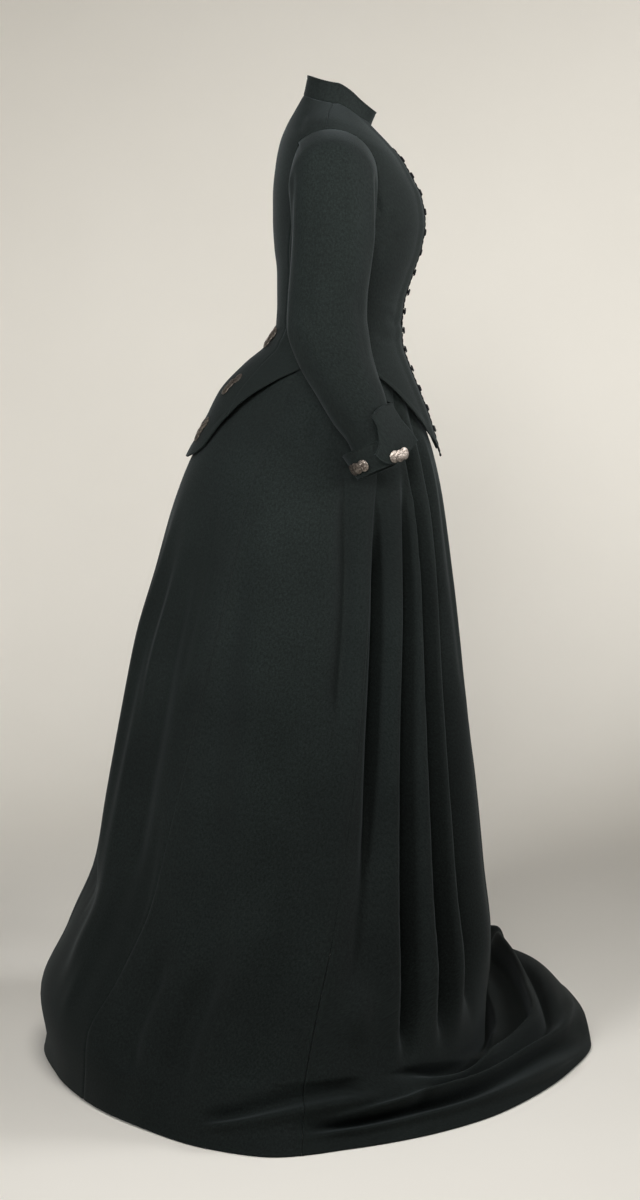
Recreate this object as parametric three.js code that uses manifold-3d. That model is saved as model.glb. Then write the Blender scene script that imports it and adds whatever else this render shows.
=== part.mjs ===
// Riding habit: a closed jacket with a tail, and a long trained skirt, on the pose of a standing wearer.
// Millimetres, +Z up. The wearer faces -Y and the right side is -X. The origin is the middle of the waist.
import * as THREE from 'three';
import { mergeVertices } from 'three/addons/utils/BufferGeometryUtils.js';
import Module from 'manifold-3d';

const wasm = await Module();
wasm.setup();

// Driving sizes
const cloth = 2.2; // wall of the wool
const seamGap = 0.3; // space between two pieces at a seam
const seatGap = 0.3; // space under a piece that lies on another
const floorZ = -1120; // the skirt's hem stands this far below the waist
const restZ = floorZ + cloth * 1.15; // lowest outer face of the cloth on the floor
const armholeX = 118; // the armhole is cut from here outwards
const armhole = { y: 15, z: 236, foreAft: 69, height: 69 };
const frontLap = 11; // the right front reaches this far past the centre
const underLap = 14; // the left front reaches this far under it
const lapRaise = cloth + 0.5;
const collarHeight = 31;
const frontButtonCount = 15;
const frontButtonDiameter = 11;
const groupButtonDiameter = 18;

const wool = { color: 0x10181b, roughness: 0.92, metalness: 0 };
const jet = { color: 0x17181a, roughness: 0.3, metalness: 0.3 };
const metal = { color: 0xa89c94, roughness: 0.35, metalness: 0.9 };

const habit = new THREE.Group();

function addPiece(name, geometry, look) {
  const mesh = new THREE.Mesh(geometry, new THREE.MeshStandardMaterial(look));
  mesh.name = name;
  habit.add(mesh);
}

// Smooth value of one column of a table whose rows are in order of the key column. It never passes the
// highest or lowest row beside it.
function column(rows, key, name, at) {
  const last = rows.length - 1;
  if (at <= rows[0][key]) return rows[0][name];
  if (at >= rows[last][key]) return rows[last][name];
  let i = 0;
  while (at > rows[i + 1][key]) i += 1;
  const secant = (j) => (rows[j + 1][name] - rows[j][name]) / (rows[j + 1][key] - rows[j][key]);
  const slope = (j) => {
    if (j === 0 || j === last) return 0;
    const before = secant(j - 1);
    const after = secant(j);
    return before * after <= 0 ? 0 : (2 * before * after) / (before + after);
  };
  const span = rows[i + 1][key] - rows[i][key];
  const s = (at - rows[i][key]) / span;
  const rise = rows[i + 1][name] - rows[i][name];
  const startBend = (s ** 3 - 2 * s ** 2 + s) * slope(i) * span;
  const endBend = (s ** 3 - s ** 2) * slope(i + 1) * span;
  return rows[i][name] + rise * (3 * s ** 2 - 2 * s ** 3) + startBend + endBend;
}

const smooth = (low, high, at) => THREE.MathUtils.smoothstep(at, low, high);
const mix = THREE.MathUtils.lerp;
const radians = THREE.MathUtils.degToRad;

// Smooth curve through evenly spaced values.
function flowing(values, at) {
  const last = values.length - 1;
  const i = THREE.MathUtils.clamp(Math.floor(at), 0, last - 1);
  const [a, b, c, d] = [i - 1, i, i + 1, i + 2].map((k) => values[THREE.MathUtils.clamp(k, 0, last)]);
  const t = at - i;
  return b + 0.5 * t * (c - a + t * (2 * a - 5 * b + 4 * c - d + t * (3 * (b - c) + d - a)));
}

// Closed wall of cloth over the unit square. place(u, v) gives the outer face, lift(point) moves it outwards.
// outward is 1 where u to the right and v up shows the outer face, and -1 where it shows the inner one.
function clothWall(place, uSteps, vSteps, options = {}) {
  const { thickness = cloth, outward = 1, lift = () => 0 } = options;
  const step = 1e-3;
  const outer = [];
  const inner = [];
  for (let j = 0; j <= vSteps; j += 1) {
    for (let i = 0; i <= uSteps; i += 1) {
      const u = i / uSteps;
      const v = j / vSteps;
      const alongU = place(u + step, v).sub(place(u - step, v));
      const alongV = place(u, v + step).sub(place(u, v - step));
      const normal = alongU.cross(alongV).normalize().multiplyScalar(outward);
      const point = place(u, v);
      const raised = lift(point);
      outer.push(point.clone().addScaledVector(normal, raised));
      inner.push(point.clone().addScaledVector(normal, raised - thickness));
    }
  }
  const points = [...outer, ...inner];
  const half = outer.length;
  const at = (i, j) => j * (uSteps + 1) + i;
  const index = [];
  const quad = (a, b, c, d) => {
    if (outward > 0) index.push(a, b, c, a, c, d);
    else index.push(a, c, b, a, d, c);
  };
  for (let j = 0; j < vSteps; j += 1) {
    for (let i = 0; i < uSteps; i += 1) {
      quad(at(i, j), at(i + 1, j), at(i + 1, j + 1), at(i, j + 1));
      quad(half + at(i, j), half + at(i, j + 1), half + at(i + 1, j + 1), half + at(i + 1, j));
    }
  }
  for (let i = 0; i < uSteps; i += 1) {
    quad(at(i, 0), half + at(i, 0), half + at(i + 1, 0), at(i + 1, 0));
    quad(at(i, vSteps), at(i + 1, vSteps), half + at(i + 1, vSteps), half + at(i, vSteps));
  }
  for (let j = 0; j < vSteps; j += 1) {
    quad(at(0, j), at(0, j + 1), half + at(0, j + 1), half + at(0, j));
    quad(at(uSteps, j), half + at(uSteps, j), half + at(uSteps, j + 1), at(uSteps, j + 1));
  }
  const geometry = new THREE.BufferGeometry();
  geometry.setAttribute('position', new THREE.Float32BufferAttribute(points.flatMap((p) => p.toArray()), 3));
  geometry.setIndex(index);
  return geometry;
}

function toSolid(geometry) {
  const bare = geometry.clone();
  bare.deleteAttribute('normal');
  bare.deleteAttribute('uv');
  const merged = mergeVertices(bare, 1e-4);
  const vertProperties = new Float32Array(merged.attributes.position.array);
  const triVerts = new Uint32Array(merged.index.array);
  return new wasm.Manifold(new wasm.Mesh({ numProp: 3, vertProperties, triVerts }));
}

// Moves a solid along a direction, from clear of its carrier until only the seat gap is left between them.
function lowered(solid, carrier, direction) {
  const searched = 40;
  const steps = 6;
  let moved = solid;
  for (let i = 0; i < steps; i += 1) {
    const way = direction.clone().setLength(Math.max(moved.minGap(carrier, searched) - seatGap, 1e-4));
    moved = moved.translate(way.toArray());
  }
  return moved;
}

function fromSolid(solid) {
  const mesh = solid.getMesh();
  const geometry = new THREE.BufferGeometry();
  geometry.setAttribute('position', new THREE.Float32BufferAttribute(mesh.vertProperties, 3));
  geometry.setIndex(Array.from(mesh.triVerts));
  return geometry;
}

// Rings of the jacket from the hem level up to the neck. A turn of 0 degrees is the centre front, 90 the
// wearer's right side and 180 the centre back.
const jacketRings = [
  { level: -190, front: -152, back: 236, half: 172, mid: 35, frontZ: -190, sideZ: -190, backZ: -190 },
  { level: -130, front: -134.5, back: 205, half: 158, mid: 26, frontZ: -130, sideZ: -130, backZ: -130 },
  { level: -85, front: -117, back: 181, half: 144, mid: 18, frontZ: -85, sideZ: -85, backZ: -85 },
  { level: -45, front: -101, back: 143, half: 127, mid: 10, frontZ: -45, sideZ: -45, backZ: -45 },
  { level: -15, front: -92, back: 109, half: 111, mid: 5, frontZ: -15, sideZ: -15, backZ: -15 },
  { level: 12, front: -91, back: 97, half: 105, mid: 3, frontZ: 12, sideZ: 12, backZ: 12 },
  { level: 45, front: -94, back: 95, half: 110, mid: 2, frontZ: 45, sideZ: 45, backZ: 45 },
  { level: 90, front: -107, back: 95, half: 123, mid: 2, frontZ: 90, sideZ: 90, backZ: 90 },
  { level: 130, front: -120, back: 99, half: 133, mid: 4, frontZ: 130, sideZ: 130, backZ: 130 },
  { level: 165, front: -125, back: 101, half: 137, mid: 6, frontZ: 165, sideZ: 168, backZ: 168 },
  { level: 200, front: -120, back: 101, half: 141, mid: 9, frontZ: 200, sideZ: 208, backZ: 206 },
  { level: 240, front: -104, back: 97, half: 148, mid: 12, frontZ: 234, sideZ: 258, backZ: 250 },
  { level: 275, front: -87, back: 90, half: 154, mid: 14, frontZ: 262, sideZ: 296, backZ: 285 },
  { level: 300, front: -71.5, back: 80, half: 132, mid: 12, frontZ: 281, sideZ: 315, backZ: 310 },
  { level: 325, front: -57, back: 66, half: 90, mid: 8, frontZ: 296, sideZ: 332, backZ: 335 },
  { level: 345, front: -45, back: 55, half: 58, mid: 4, frontZ: 308, sideZ: 342, backZ: 354 },
];

const ringFall = 1.35; // how evenly a ring falls from the shoulder line to the front and the back

function jacketPoint(turn, level) {
  const value = (name) => column(jacketRings, 'level', name, level);
  const c = Math.cos(radians(turn));
  const s = Math.sin(radians(turn));
  const mid = value('mid');
  const reach = c > 0 ? mid - value('front') : value('back') - mid;
  const sideZ = value('sideZ');
  const endZ = c > 0 ? value('frontZ') : value('backZ');
  return new THREE.Vector3(-value('half') * s, mid - reach * c, sideZ + (endZ - sideZ) * Math.abs(c) ** ringFall);
}

// The jacket's lower edge: a point at the centre front, short over the hips, and a long tail at the back.
const jacketHem = [
  { turn: 0, level: -168 },
  { turn: 12, level: -150 },
  { turn: 28, level: -110 },
  { turn: 45, level: -72 },
  { turn: 65, level: -45 },
  { turn: 85, level: -34 },
  { turn: 105, level: -40 },
  { turn: 122, level: -56 },
  { turn: 138, level: -88 },
  { turn: 150, level: -126 },
  { turn: 158, level: -160 },
  { turn: 165, level: -170 },
  { turn: 180, level: -181 },
];
const hemLevel = (turn) => column(jacketHem, 'turn', 'level', Math.abs(turn));

// Seams of the jacket's right half, as the turn at each level.
const jacketSeams = [
  { level: -190, side: 84, sideBack: 112, back: 146 },
  { level: -60, side: 84, sideBack: 112, back: 146 },
  { level: 12, side: 84, sideBack: 114, back: 148 },
  { level: 90, side: 82, sideBack: 112, back: 144 },
  { level: 165, side: 80, sideBack: 106, back: 134 },
  { level: 205, side: 80, sideBack: 100, back: 121 },
  { level: 240, side: 88, sideBack: 98, back: 106 },
  { level: 275, side: 98, sideBack: 98, back: 98 },
  { level: 345, side: 98, sideBack: 98, back: 98 },
];

// Rows of cloth across every panel, so that two panels have the same rows at their seam.
const rowLevels = [-22, 6, 36, 70, 105, 140, 172, 204, 236, 262, 284, 304, 325, 345];
const hemRows = 4;
const neckRows = hemRows + rowLevels.length - 1;

function rowLevel(row, bottom) {
  if (row <= hemRows) return mix(bottom, rowLevels[0], row / hemRows);
  const i = Math.min(Math.floor(row - hemRows), rowLevels.length - 2);
  return mix(rowLevels[i], rowLevels[i + 1], row - hemRows - i);
}

// turn is measured to the wearer's right; side is 1 for the right half and -1 for the left one.
function jacketPanel(side, fromTurn, toTurn, rowCount, uSteps, lift) {
  const place = (u, v) => {
    const bottom = hemLevel(mix(fromTurn(0), toTurn(0), u));
    const level = rowLevel(v * rowCount, bottom);
    const point = jacketPoint(mix(fromTurn(level), toTurn(level), u), level);
    point.x *= side;
    return point;
  };
  return clothWall(place, uSteps, rowCount, { outward: -side, lift });
}

// A seam's turn at a level, moved by half a seam gap towards the back (1) or the front (-1).
const seam = (name, towards) => (level) => {
  const turn = column(jacketSeams, 'level', name, level);
  const speed = jacketPoint(turn + 0.5, level).distanceTo(jacketPoint(turn - 0.5, level));
  return turn + (towards * seamGap * 0.6) / speed;
};
const centreBack = (level) => {
  const half = column(jacketRings, 'level', 'half', level);
  return 180 - THREE.MathUtils.radToDeg((seamGap * 0.6) / half);
};
const edgeTurn = (distance) => (level) => {
  const half = column(jacketRings, 'level', 'half', level);
  return THREE.MathUtils.radToDeg(Math.asin(distance / half));
};

// Elliptical cutter of an armhole, along X.
function armholeCutter(side) {
  const shape = new THREE.Shape();
  shape.absellipse(0, 0, armhole.foreAft, armhole.height, 0, Math.PI * 2);
  const geometry = new THREE.ExtrudeGeometry(shape, { depth: 120, bevelEnabled: false, curveSegments: 18 });
  geometry.rotateY(Math.PI / 2);
  geometry.rotateX(Math.PI / 2);
  if (side > 0) geometry.rotateZ(Math.PI);
  geometry.translate(-side * armholeX, armhole.y, armhole.z);
  return toSolid(geometry);
}

const sides = { right: 1, left: -1 };

const jacketSolids = {};

for (const [word, side] of Object.entries(sides)) {
  const cutter = armholeCutter(side);
  const frontEdge = side > 0 ? edgeTurn(-frontLap) : edgeTurn(-underLap);
  const lapLift = (point) => (side > 0 ? lapRaise * smooth(-underLap - 34, -underLap - 13, point.x) : 0);
  const panels = {
    front: jacketPanel(side, frontEdge, seam('side', -1), neckRows, 10, lapLift),
    side: jacketPanel(side, seam('side', 1), seam('sideBack', -1), 11, 4),
    side_back: jacketPanel(side, seam('sideBack', 1), seam('back', -1), 13, 5),
    back: jacketPanel(side, seam('back', 1), centreBack, neckRows, 7),
  };
  for (const [name, geometry] of Object.entries(panels)) {
    const solid = toSolid(geometry).subtract(cutter);
    jacketSolids[`${name}_${word}`] = solid;
    addPiece(`jacket_${name}_${word}`, fromSolid(solid), wool);
  }
}

// Stand collar: it follows the neck edge, leans in at the back and flares at its two front ends.
const collar = { endTurn: 2, baseGap: 1.1, leanBack: -6, flareFront: 9, frontDrop: 9 };

function collarPoint(turn, share) {
  const base = jacketPoint(turn, 345);
  const front = smooth(0.55, 1, Math.cos(radians(turn)));
  const lean = mix(collar.leanBack, collar.flareFront, front) * share;
  const height = (collarHeight - collar.frontDrop * front) * share + collar.baseGap;
  const out = new THREE.Vector3(base.x, base.y - 4, 0).normalize().multiplyScalar(lean);
  return new THREE.Vector3(base.x + out.x, base.y + out.y, base.z + height);
}
const collarPlace = (u, v) => collarPoint(mix(collar.endTurn, 360 - collar.endTurn, u), v);
addPiece('collar', clothWall(collarPlace, 24, 2, { outward: -1, thickness: 2.6 }), wool);

// Sections of the right sleeve. across is half of the section from the inner to the outer side, fore is half of
// it from the back to the front.
const sleeveSections = [
  { down: 0, x: -150, y: 14, z: 236, acrossX: 0, acrossZ: 68, foreY: -68, foreZ: 0 },
  { down: 1, x: -174, y: 12, z: 224, acrossX: -25, acrossZ: 65, foreY: -65, foreZ: 0 },
  { down: 2, x: -186, y: 11, z: 196, acrossX: -41, acrossZ: 48, foreY: -63, foreZ: 0 },
  { down: 3, x: -190, y: 11, z: 158, acrossX: -47, acrossZ: 24, foreY: -61, foreZ: 0 },
  { down: 4, x: -191, y: 14, z: 112, acrossX: -48, acrossZ: 4, foreY: -59, foreZ: 0 },
  { down: 5, x: -190, y: 19, z: 62, acrossX: -48, acrossZ: 0, foreY: -58, foreZ: 2 },
  { down: 6, x: -191, y: 20, z: 26, acrossX: -47, acrossZ: 2, foreY: -58, foreZ: 7 },
  { down: 7, x: -194, y: 9.5, z: -19, acrossX: -45, acrossZ: 5, foreY: -52.5, foreZ: 14 },
  { down: 8, x: -199, y: -8, z: -60, acrossX: -42, acrossZ: 6, foreY: -45.5, foreZ: 14.5 },
  { down: 9, x: -205, y: -26, z: -98, acrossX: -38.5, acrossZ: 6, foreY: -39.5, foreZ: 16 },
  { down: 10, x: -210, y: -43, z: -140, acrossX: -33, acrossZ: 5, foreY: -28.5, foreZ: 13 },
  { down: 11, x: -216, y: -53.7, z: -186, acrossX: -30, acrossZ: 5.4, foreY: -25.8, foreZ: 11.3 },
];

function ringPoint(rows, key, at, angle) {
  const value = (name) => column(rows, key, name, at);
  const c = Math.cos(radians(angle));
  const s = Math.sin(radians(angle));
  return new THREE.Vector3(
    value('x') + value('acrossX') * c,
    value('y') + value('foreY') * s,
    value('z') + value('acrossZ') * c + value('foreZ') * s,
  );
}

// Edge of the jacket's armhole at an angle from its top (0) through its front (90).
function armholeEdge(angle) {
  const y = armhole.y - armhole.foreAft * Math.sin(radians(angle));
  const z = armhole.z + armhole.height * Math.cos(radians(angle));
  const surface = (toward) => {
    let low = toward > 0 ? 90 : 0;
    let high = toward > 0 ? 180 : 90;
    let level = z;
    let point = jacketPoint(90, level);
    for (let i = 0; i < 60; i += 1) {
      const turn = (low + high) / 2;
      point = jacketPoint(turn, level);
      level += (z - point.z) * 0.6;
      if (point.y > y) high = turn;
      else low = turn;
    }
    return point;
  };
  const point = surface(y > 12 ? 1 : 0);
  if (point.x > -armholeX) {
    const spread = column(jacketRings, 'level', 'half', z);
    const mid = column(jacketRings, 'level', 'mid', z);
    const reach = column(jacketRings, 'level', 'back', z) - mid;
    point.set(-armholeX, mid + reach * Math.sqrt(1 - (armholeX / spread) ** 2), z);
  }
  return point;
}

const sleeveInset = 0.6; // the sleeve's edge lies this far inside the armhole
const capRows = 1.3;

function sleevePoint(angle, down) {
  const point = ringPoint(sleeveSections, 'down', down, angle);
  if (down < capRows) {
    const edge = armholeEdge(angle);
    edge.x -= sleeveInset;
    edge.y += sleeveInset * Math.sin(radians(angle));
    edge.z -= sleeveInset * Math.cos(radians(angle));
    const flat = ringPoint(sleeveSections, 'down', 0, angle);
    point.addScaledVector(edge.sub(flat), (1 - down / capRows) ** 2);
  }
  return point;
}

const sleeveRows = [0, 0.3, 0.8, 1.4, 2, 2.8, 3.8, 5, 6, 7, 8, 9, 10, 11];
const sleeveSeams = { front: 104, back: -108, gap: 0.2 };

function listed(list, at) {
  const i = THREE.MathUtils.clamp(Math.floor(at), 0, list.length - 2);
  return mix(list[i], list[i + 1], at - i);
}

function sleevePanel(side, fromAngle, toAngle, uSteps) {
  const place = (u, v) => {
    const down = Math.max(listed(sleeveRows, v * (sleeveRows.length - 1)), -0.01);
    const point = sleevePoint(mix(fromAngle, toAngle, u), down);
    point.x *= side;
    return point;
  };
  return clothWall(place, uSteps, sleeveRows.length - 1, { outward: -side });
}

// Turned-back cuff: a band round the wrist, and a taller flap that wraps its front and flares forwards.
const cuffRings = [
  { up: 0, x: -216, y: -54, z: -187, acrossX: -34, acrossZ: 6, foreY: -29.5, foreZ: 12.5 },
  { up: 1, x: -212, y: -41.5, z: -150, acrossX: -41.6, acrossZ: 7, foreY: -39.2, foreZ: 16 },
];
const cuffBand = { from: 66, to: 425.5, thickness: 2.6 };

function bandPlace(u, v) {
  return ringPoint(cuffRings, 'up', v, mix(cuffBand.from, cuffBand.to, u));
}

// Side edge and front edge of the flap from its lower edge up, as the side view shows them.
const flapEdges = [
  { up: 0, sideY: -50, sideZ: -157, midY: -80, midZ: -171, frontY: -113, frontZ: -142 },
  { up: 0.3, sideY: -56, sideZ: -143, midY: -81, midZ: -148, frontY: -104, frontZ: -129 },
  { up: 0.65, sideY: -54, sideZ: -123, midY: -71, midZ: -119, frontY: -89, frontZ: -111 },
  { up: 1, sideY: -45, sideZ: -103, midY: -59, midZ: -90, frontY: -75, frontZ: -88 },
];
const flap = { wrap: 85, lowHalf: 48, highHalf: 44.5, crease: 0.9 };

function flapPlace(u, v) {
  const value = (name) => column(flapEdges, 'up', name, THREE.MathUtils.clamp(v, 0, 1));
  const fromFront = Math.abs(2 * u - 1);
  const near = Math.max(0, 1 - fromFront) ** flap.crease;
  const bend = (name) => {
    const side = value(`side${name}`);
    const mid = value(`mid${name}`);
    const front = value(`front${name}`);
    return (1 - near) ** 2 * side + 2 * near * (1 - near) * (2 * mid - (side + front) / 2) + near ** 2 * front;
  };
  const z = bend('Z') + (v > 1 ? (v - 1) * 50 : 0) + (v < 0 ? v * 50 : 0);
  const armX = -204 + (z + 90) * 0.134;
  const half = mix(flap.lowHalf, flap.highHalf, v);
  return new THREE.Vector3(armX + Math.sign(u - 0.5) * half * Math.sin(radians(flap.wrap * fromFront)), bend('Y'), z);
}

const mirrored = (place, side) => (u, v) => {
  const point = place(u, v);
  point.x *= side;
  return point;
};
const cuffSolids = {};
const towardsArm = new THREE.Vector3(0, 1, 0.3);

for (const [word, side] of Object.entries(sides)) {
  const { front, back, gap } = sleeveSeams;
  const upper = sleevePanel(side, back + gap, front - gap, 7);
  const wall = { outward: side, thickness: cuffBand.thickness };
  const bandSolid = toSolid(clothWall(mirrored(bandPlace, side), 16, 1, wall));
  const wideFlap = toSolid(clothWall(mirrored(flapPlace, side), 10, 4, wall));
  const flapSolid = lowered(wideFlap, toSolid(upper).add(bandSolid), towardsArm);
  cuffSolids[`band_${word}`] = bandSolid;
  cuffSolids[`flap_${word}`] = flapSolid;
  addPiece(`sleeve_upper_${word}`, upper, wool);
  addPiece(`sleeve_under_${word}`, sleevePanel(side, front + gap, 360 + back - gap, 5), wool);
  addPiece(`cuff_band_${word}`, fromSolid(bandSolid), wool);
  addPiece(`cuff_flap_${word}`, fromSolid(flapSolid), wool);
}

// Button with a domed face: a turned shape whose rows give the radius and the height of its outline.
function turnedButton(diameter, outline, segments) {
  const profile = outline.map((row) => new THREE.Vector2(row.radius * (diameter / 2), row.height));
  const geometry = new THREE.LatheGeometry(profile, segments);
  geometry.rotateX(Math.PI / 2);
  return geometry;
}

const smallOutline = [
  { radius: 0, height: 0 },
  { radius: 0.55, height: 0 },
  { radius: 1, height: 1.5 },
  { radius: 0.7, height: 3.3 },
  { radius: 0, height: 4 },
];
const discOutline = [
  { radius: 0, height: 0 },
  { radius: 0.85, height: 0 },
  { radius: 1, height: 1.4 },
  { radius: 0, height: 3 },
];

const standOff = 7; // a button starts this far off its place before it is lowered onto the cloth

// Turned shape that faces out of a surface, off it by a distance. The normal is given with it.
function standing(geometry, place, u, v, outward, distance) {
  const step = 2e-3;
  const alongU = place(u + step, v).sub(place(u - step, v));
  const alongV = place(u, v + step).sub(place(u, v - step));
  const normal = alongU.clone().cross(alongV).normalize().multiplyScalar(outward);
  const turned = new THREE.Quaternion().setFromUnitVectors(new THREE.Vector3(0, 0, 1), normal);
  const spot = place(u, v).addScaledVector(normal, distance);
  const shape = geometry.clone().applyQuaternion(turned).translate(spot.x, spot.y, spot.z);
  return { solid: toSolid(shape), normal };
}

const frontButtonLevels = { first: 270, last: -144 };
const frontButtonTurn = 0.4;
for (let i = 0; i < frontButtonCount; i += 1) {
  const level = mix(frontButtonLevels.first, frontButtonLevels.last, i / (frontButtonCount - 1));
  const shape = turnedButton(frontButtonDiameter, smallOutline, 7);
  const { solid, normal } = standing(shape, jacketPoint, frontButtonTurn, level, -1, standOff);
  addPiece(`front_button_${i + 1}`, fromSolid(lowered(solid, jacketSolids.front_right, normal.negate())), jet);
}

// Three lapped discs, joined where they overlap and lowered onto the cloth that carries them.
function discGroup(name, carrier, spots, outward) {
  const disc = turnedButton(groupButtonDiameter, discOutline, 8);
  const inwards = new THREE.Vector3();
  let joined = null;
  spots.forEach(({ place, u, v }, i) => {
    const { solid, normal } = standing(disc, place, u, v, outward, standOff + i);
    inwards.sub(normal);
    joined = joined ? joined.add(solid) : solid;
  });
  addPiece(name, fromSolid(lowered(joined, carrier, inwards)), metal);
}

const tailTrios = [
  { name: 'waist', turn: 164, drift: 0.5, level: 1 },
  { name: 'middle', turn: 158, drift: 1, level: -66 },
  { name: 'low', turn: 166, drift: 0.5, level: -133 },
];
const trioDrop = 8.6; // level from one disc of the tail to the next
const flapTrio = { u: 0.2, uStep: 0.055, v: 0.17, vStep: -0.01 };
const bandTrio = { u: 0.64, uStep: 0.045, v: 0.42, vStep: 0 };

for (const [word, side] of Object.entries(sides)) {
  const place = mirrored(jacketPoint, side);
  for (const { name, turn, drift, level } of tailTrios) {
    const spots = [0, 1, 2].map((i) => ({ place, u: turn + drift * i, v: level - trioDrop * i }));
    discGroup(`tail_buttons_${name}_${word}`, jacketSolids[`back_${word}`], spots, -side);
  }
  const cuffTrio = ({ u, uStep, v, vStep }, surface) => {
    return [0, 1, 2].map((i) => ({ place: mirrored(surface, side), u: u + uStep * i, v: v + vStep * i }));
  };
  discGroup(`cuff_flap_buttons_${word}`, cuffSolids[`flap_${word}`], cuffTrio(flapTrio, flapPlace), side);
  discGroup(`cuff_band_buttons_${word}`, cuffSolids[`band_${word}`], cuffTrio(bandTrio, bandPlace), side);
}

// Rings of the skirt from the floor up to the waist.
const skirtRings = [
  { z: -1090, front: -228, back: 457, half: 470, far: 440, mid: 88 },
  { z: -1020, front: -230, back: 467, half: 436, far: 415, mid: 84 },
  { z: -924, front: -231, back: 424, half: 402, far: 388, mid: 78 },
  { z: -822, front: -220.5, back: 379, half: 372, far: 362, mid: 70 },
  { z: -722, front: -210.5, back: 361, half: 343, far: 336, mid: 65 },
  { z: -590, front: -195, back: 336, half: 303, far: 300, mid: 58 },
  { z: -459, front: -180, back: 309, half: 264, far: 262, mid: 51 },
  { z: -368, front: -171, back: 283, half: 236, far: 235, mid: 45 },
  { z: -263, front: -159, back: 255, half: 205, far: 205, mid: 38 },
  { z: -180, front: -141.5, back: 222, half: 178, far: 178, mid: 30 },
  { z: -100, front: -112, back: 168, half: 146, far: 146, mid: 18 },
  { z: -40, front: -91, back: 122, half: 119.7, far: 119.7, mid: 8 },
  { z: 0, front: -84, back: 91, half: 97, far: 97, mid: 2 },
  { z: 26, front: -84, back: 89, half: 97, far: 97, mid: 2 },
];

// Folds of the skirt: a ridge where depth is positive and a trough where it is negative. Each runs from its top
// to its foot. Its turns are its places at even steps of that way, and it is wide degrees across on each side.
const skirtFolds = [
  { top: -60, foot: -240, turns: [42, 36], wide: 5, depth: -7 },
  { top: -60, foot: -1050, turns: [31, 29.2, 33.6, 36.2, 34.7], wide: 4, depth: 14 },
  { top: -60, foot: -1040, turns: [26, 24.5, 27.5, 28, 25], wide: 5.2, depth: -26 },
  { top: -60, foot: -1050, turns: [43, 42.3, 44.8, 46.3, 45], wide: 3.6, depth: 14 },
  { top: -60, foot: -1050, turns: [38, 37.4, 39.8, 41.5, 40.5], wide: 3.4, depth: -30 },
  { top: -150, foot: -1056, turns: [49, 52.5, 57, 59, 58.5], wide: 4.6, depth: 16 },
  { top: -150, foot: -1056, turns: [44.5, 48.2, 52.4, 54.6, 54.4], wide: 3.2, depth: -36 },
  { top: -170, foot: -980, turns: [60.4, 61, 63.6, 67.6, 70.8], wide: 3.6, depth: -34 },
  { top: -190, foot: -960, turns: [67, 68, 72, 77, 80], wide: 5, depth: 9 },
  { top: -150, foot: -560, turns: [78, 75.5, 77.5], wide: 4.5, depth: -11 },
  { top: -200, foot: -1030, turns: [9, 11, 14, 15, 12], wide: 6, depth: 8 },
  { top: -330, foot: -960, turns: [106, 104], wide: 7, depth: 8 },
  { top: -240, foot: -760, turns: [117, 114], wide: 5, depth: -8 },
  { top: -280, foot: -820, turns: [141, 144], wide: 6, depth: -12 },
  { top: -270, foot: -1000, turns: [148, 155], wide: 5, depth: 13 },
  { top: -220, foot: -860, turns: [163, 161], wide: 5, depth: 14 },
  { top: -240, foot: -900, turns: [172, 171], wide: 5, depth: -9 },
  { top: -230, foot: -980, turns: [183, 185], wide: 5, depth: 5 },
  { top: -250, foot: -900, turns: [196, 195], wide: 5, depth: -11 },
  { top: -220, foot: -1000, turns: [207, 203], wide: 6, depth: 13 },
  { top: -300, foot: -960, turns: [221, 218], wide: 6, depth: -10 },
  { top: -330, foot: -980, turns: [252, 250], wide: 7, depth: 8 },
  { top: -300, foot: -1000, turns: [284, 281], wide: 7, depth: -9 },
  { top: -880, foot: -1060, turns: [112, 114], wide: 6, depth: -13 },
  { top: -860, foot: -1060, turns: [125, 128], wide: 5, depth: -12 },
  { top: -220, foot: -1030, turns: [296, 293, 292], wide: 5, depth: 10 },
  { top: -200, foot: -1020, turns: [303, 300, 299], wide: 4.4, depth: -24 },
  { top: -180, foot: -1030, turns: [311, 308, 306], wide: 4.6, depth: 13 },
  { top: -160, foot: -1040, turns: [318, 316, 313], wide: 4.4, depth: -27 },
  { top: -120, foot: -1040, turns: [326, 324, 321], wide: 4.6, depth: 13 },
  { top: -90, foot: -1000, turns: [334, 333, 330], wide: 4.8, depth: -20 },
  { top: -220, foot: -1040, turns: [351, 352], wide: 6, depth: 7 },
];

function angleBetween(a, b) {
  const d = (((a - b) % 360) + 540) % 360;
  return d - 180;
}

const foldReach = 3; // a fold ends at this many times its width
const foldGrown = 0.35; // share of its length over which a fold deepens
const foldFading = 0.86; // share from which it fades out

function foldDepth(turn, z) {
  let depth = 0;
  for (const fold of skirtFolds) {
    const share = (fold.top - z) / (fold.top - fold.foot);
    if (share <= 0 || share >= 1) continue;
    const centre = flowing(fold.turns, share * (fold.turns.length - 1));
    const away = angleBetween(turn, centre) / fold.wide;
    if (Math.abs(away) > foldReach) continue;
    const fade = smooth(0, foldGrown, share) * (1 - smooth(foldFading, 1, share));
    depth += fold.depth * fade * Math.exp(-away * away);
  }
  return depth;
}

function skirtRing(turn, z) {
  const value = (name) => column(skirtRings, 'z', name, z);
  const c = Math.cos(radians(turn));
  const s = Math.sin(radians(turn));
  const mid = value('mid');
  const reach = c > 0 ? mid - value('front') : value('back') - mid;
  const half = s > 0 ? value('half') : value('far');
  const point = new THREE.Vector3(-half * s, mid - reach * c, z);
  const out = new THREE.Vector3(-s, -c, 0);
  return point.addScaledVector(out, foldDepth(turn, z));
}

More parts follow.
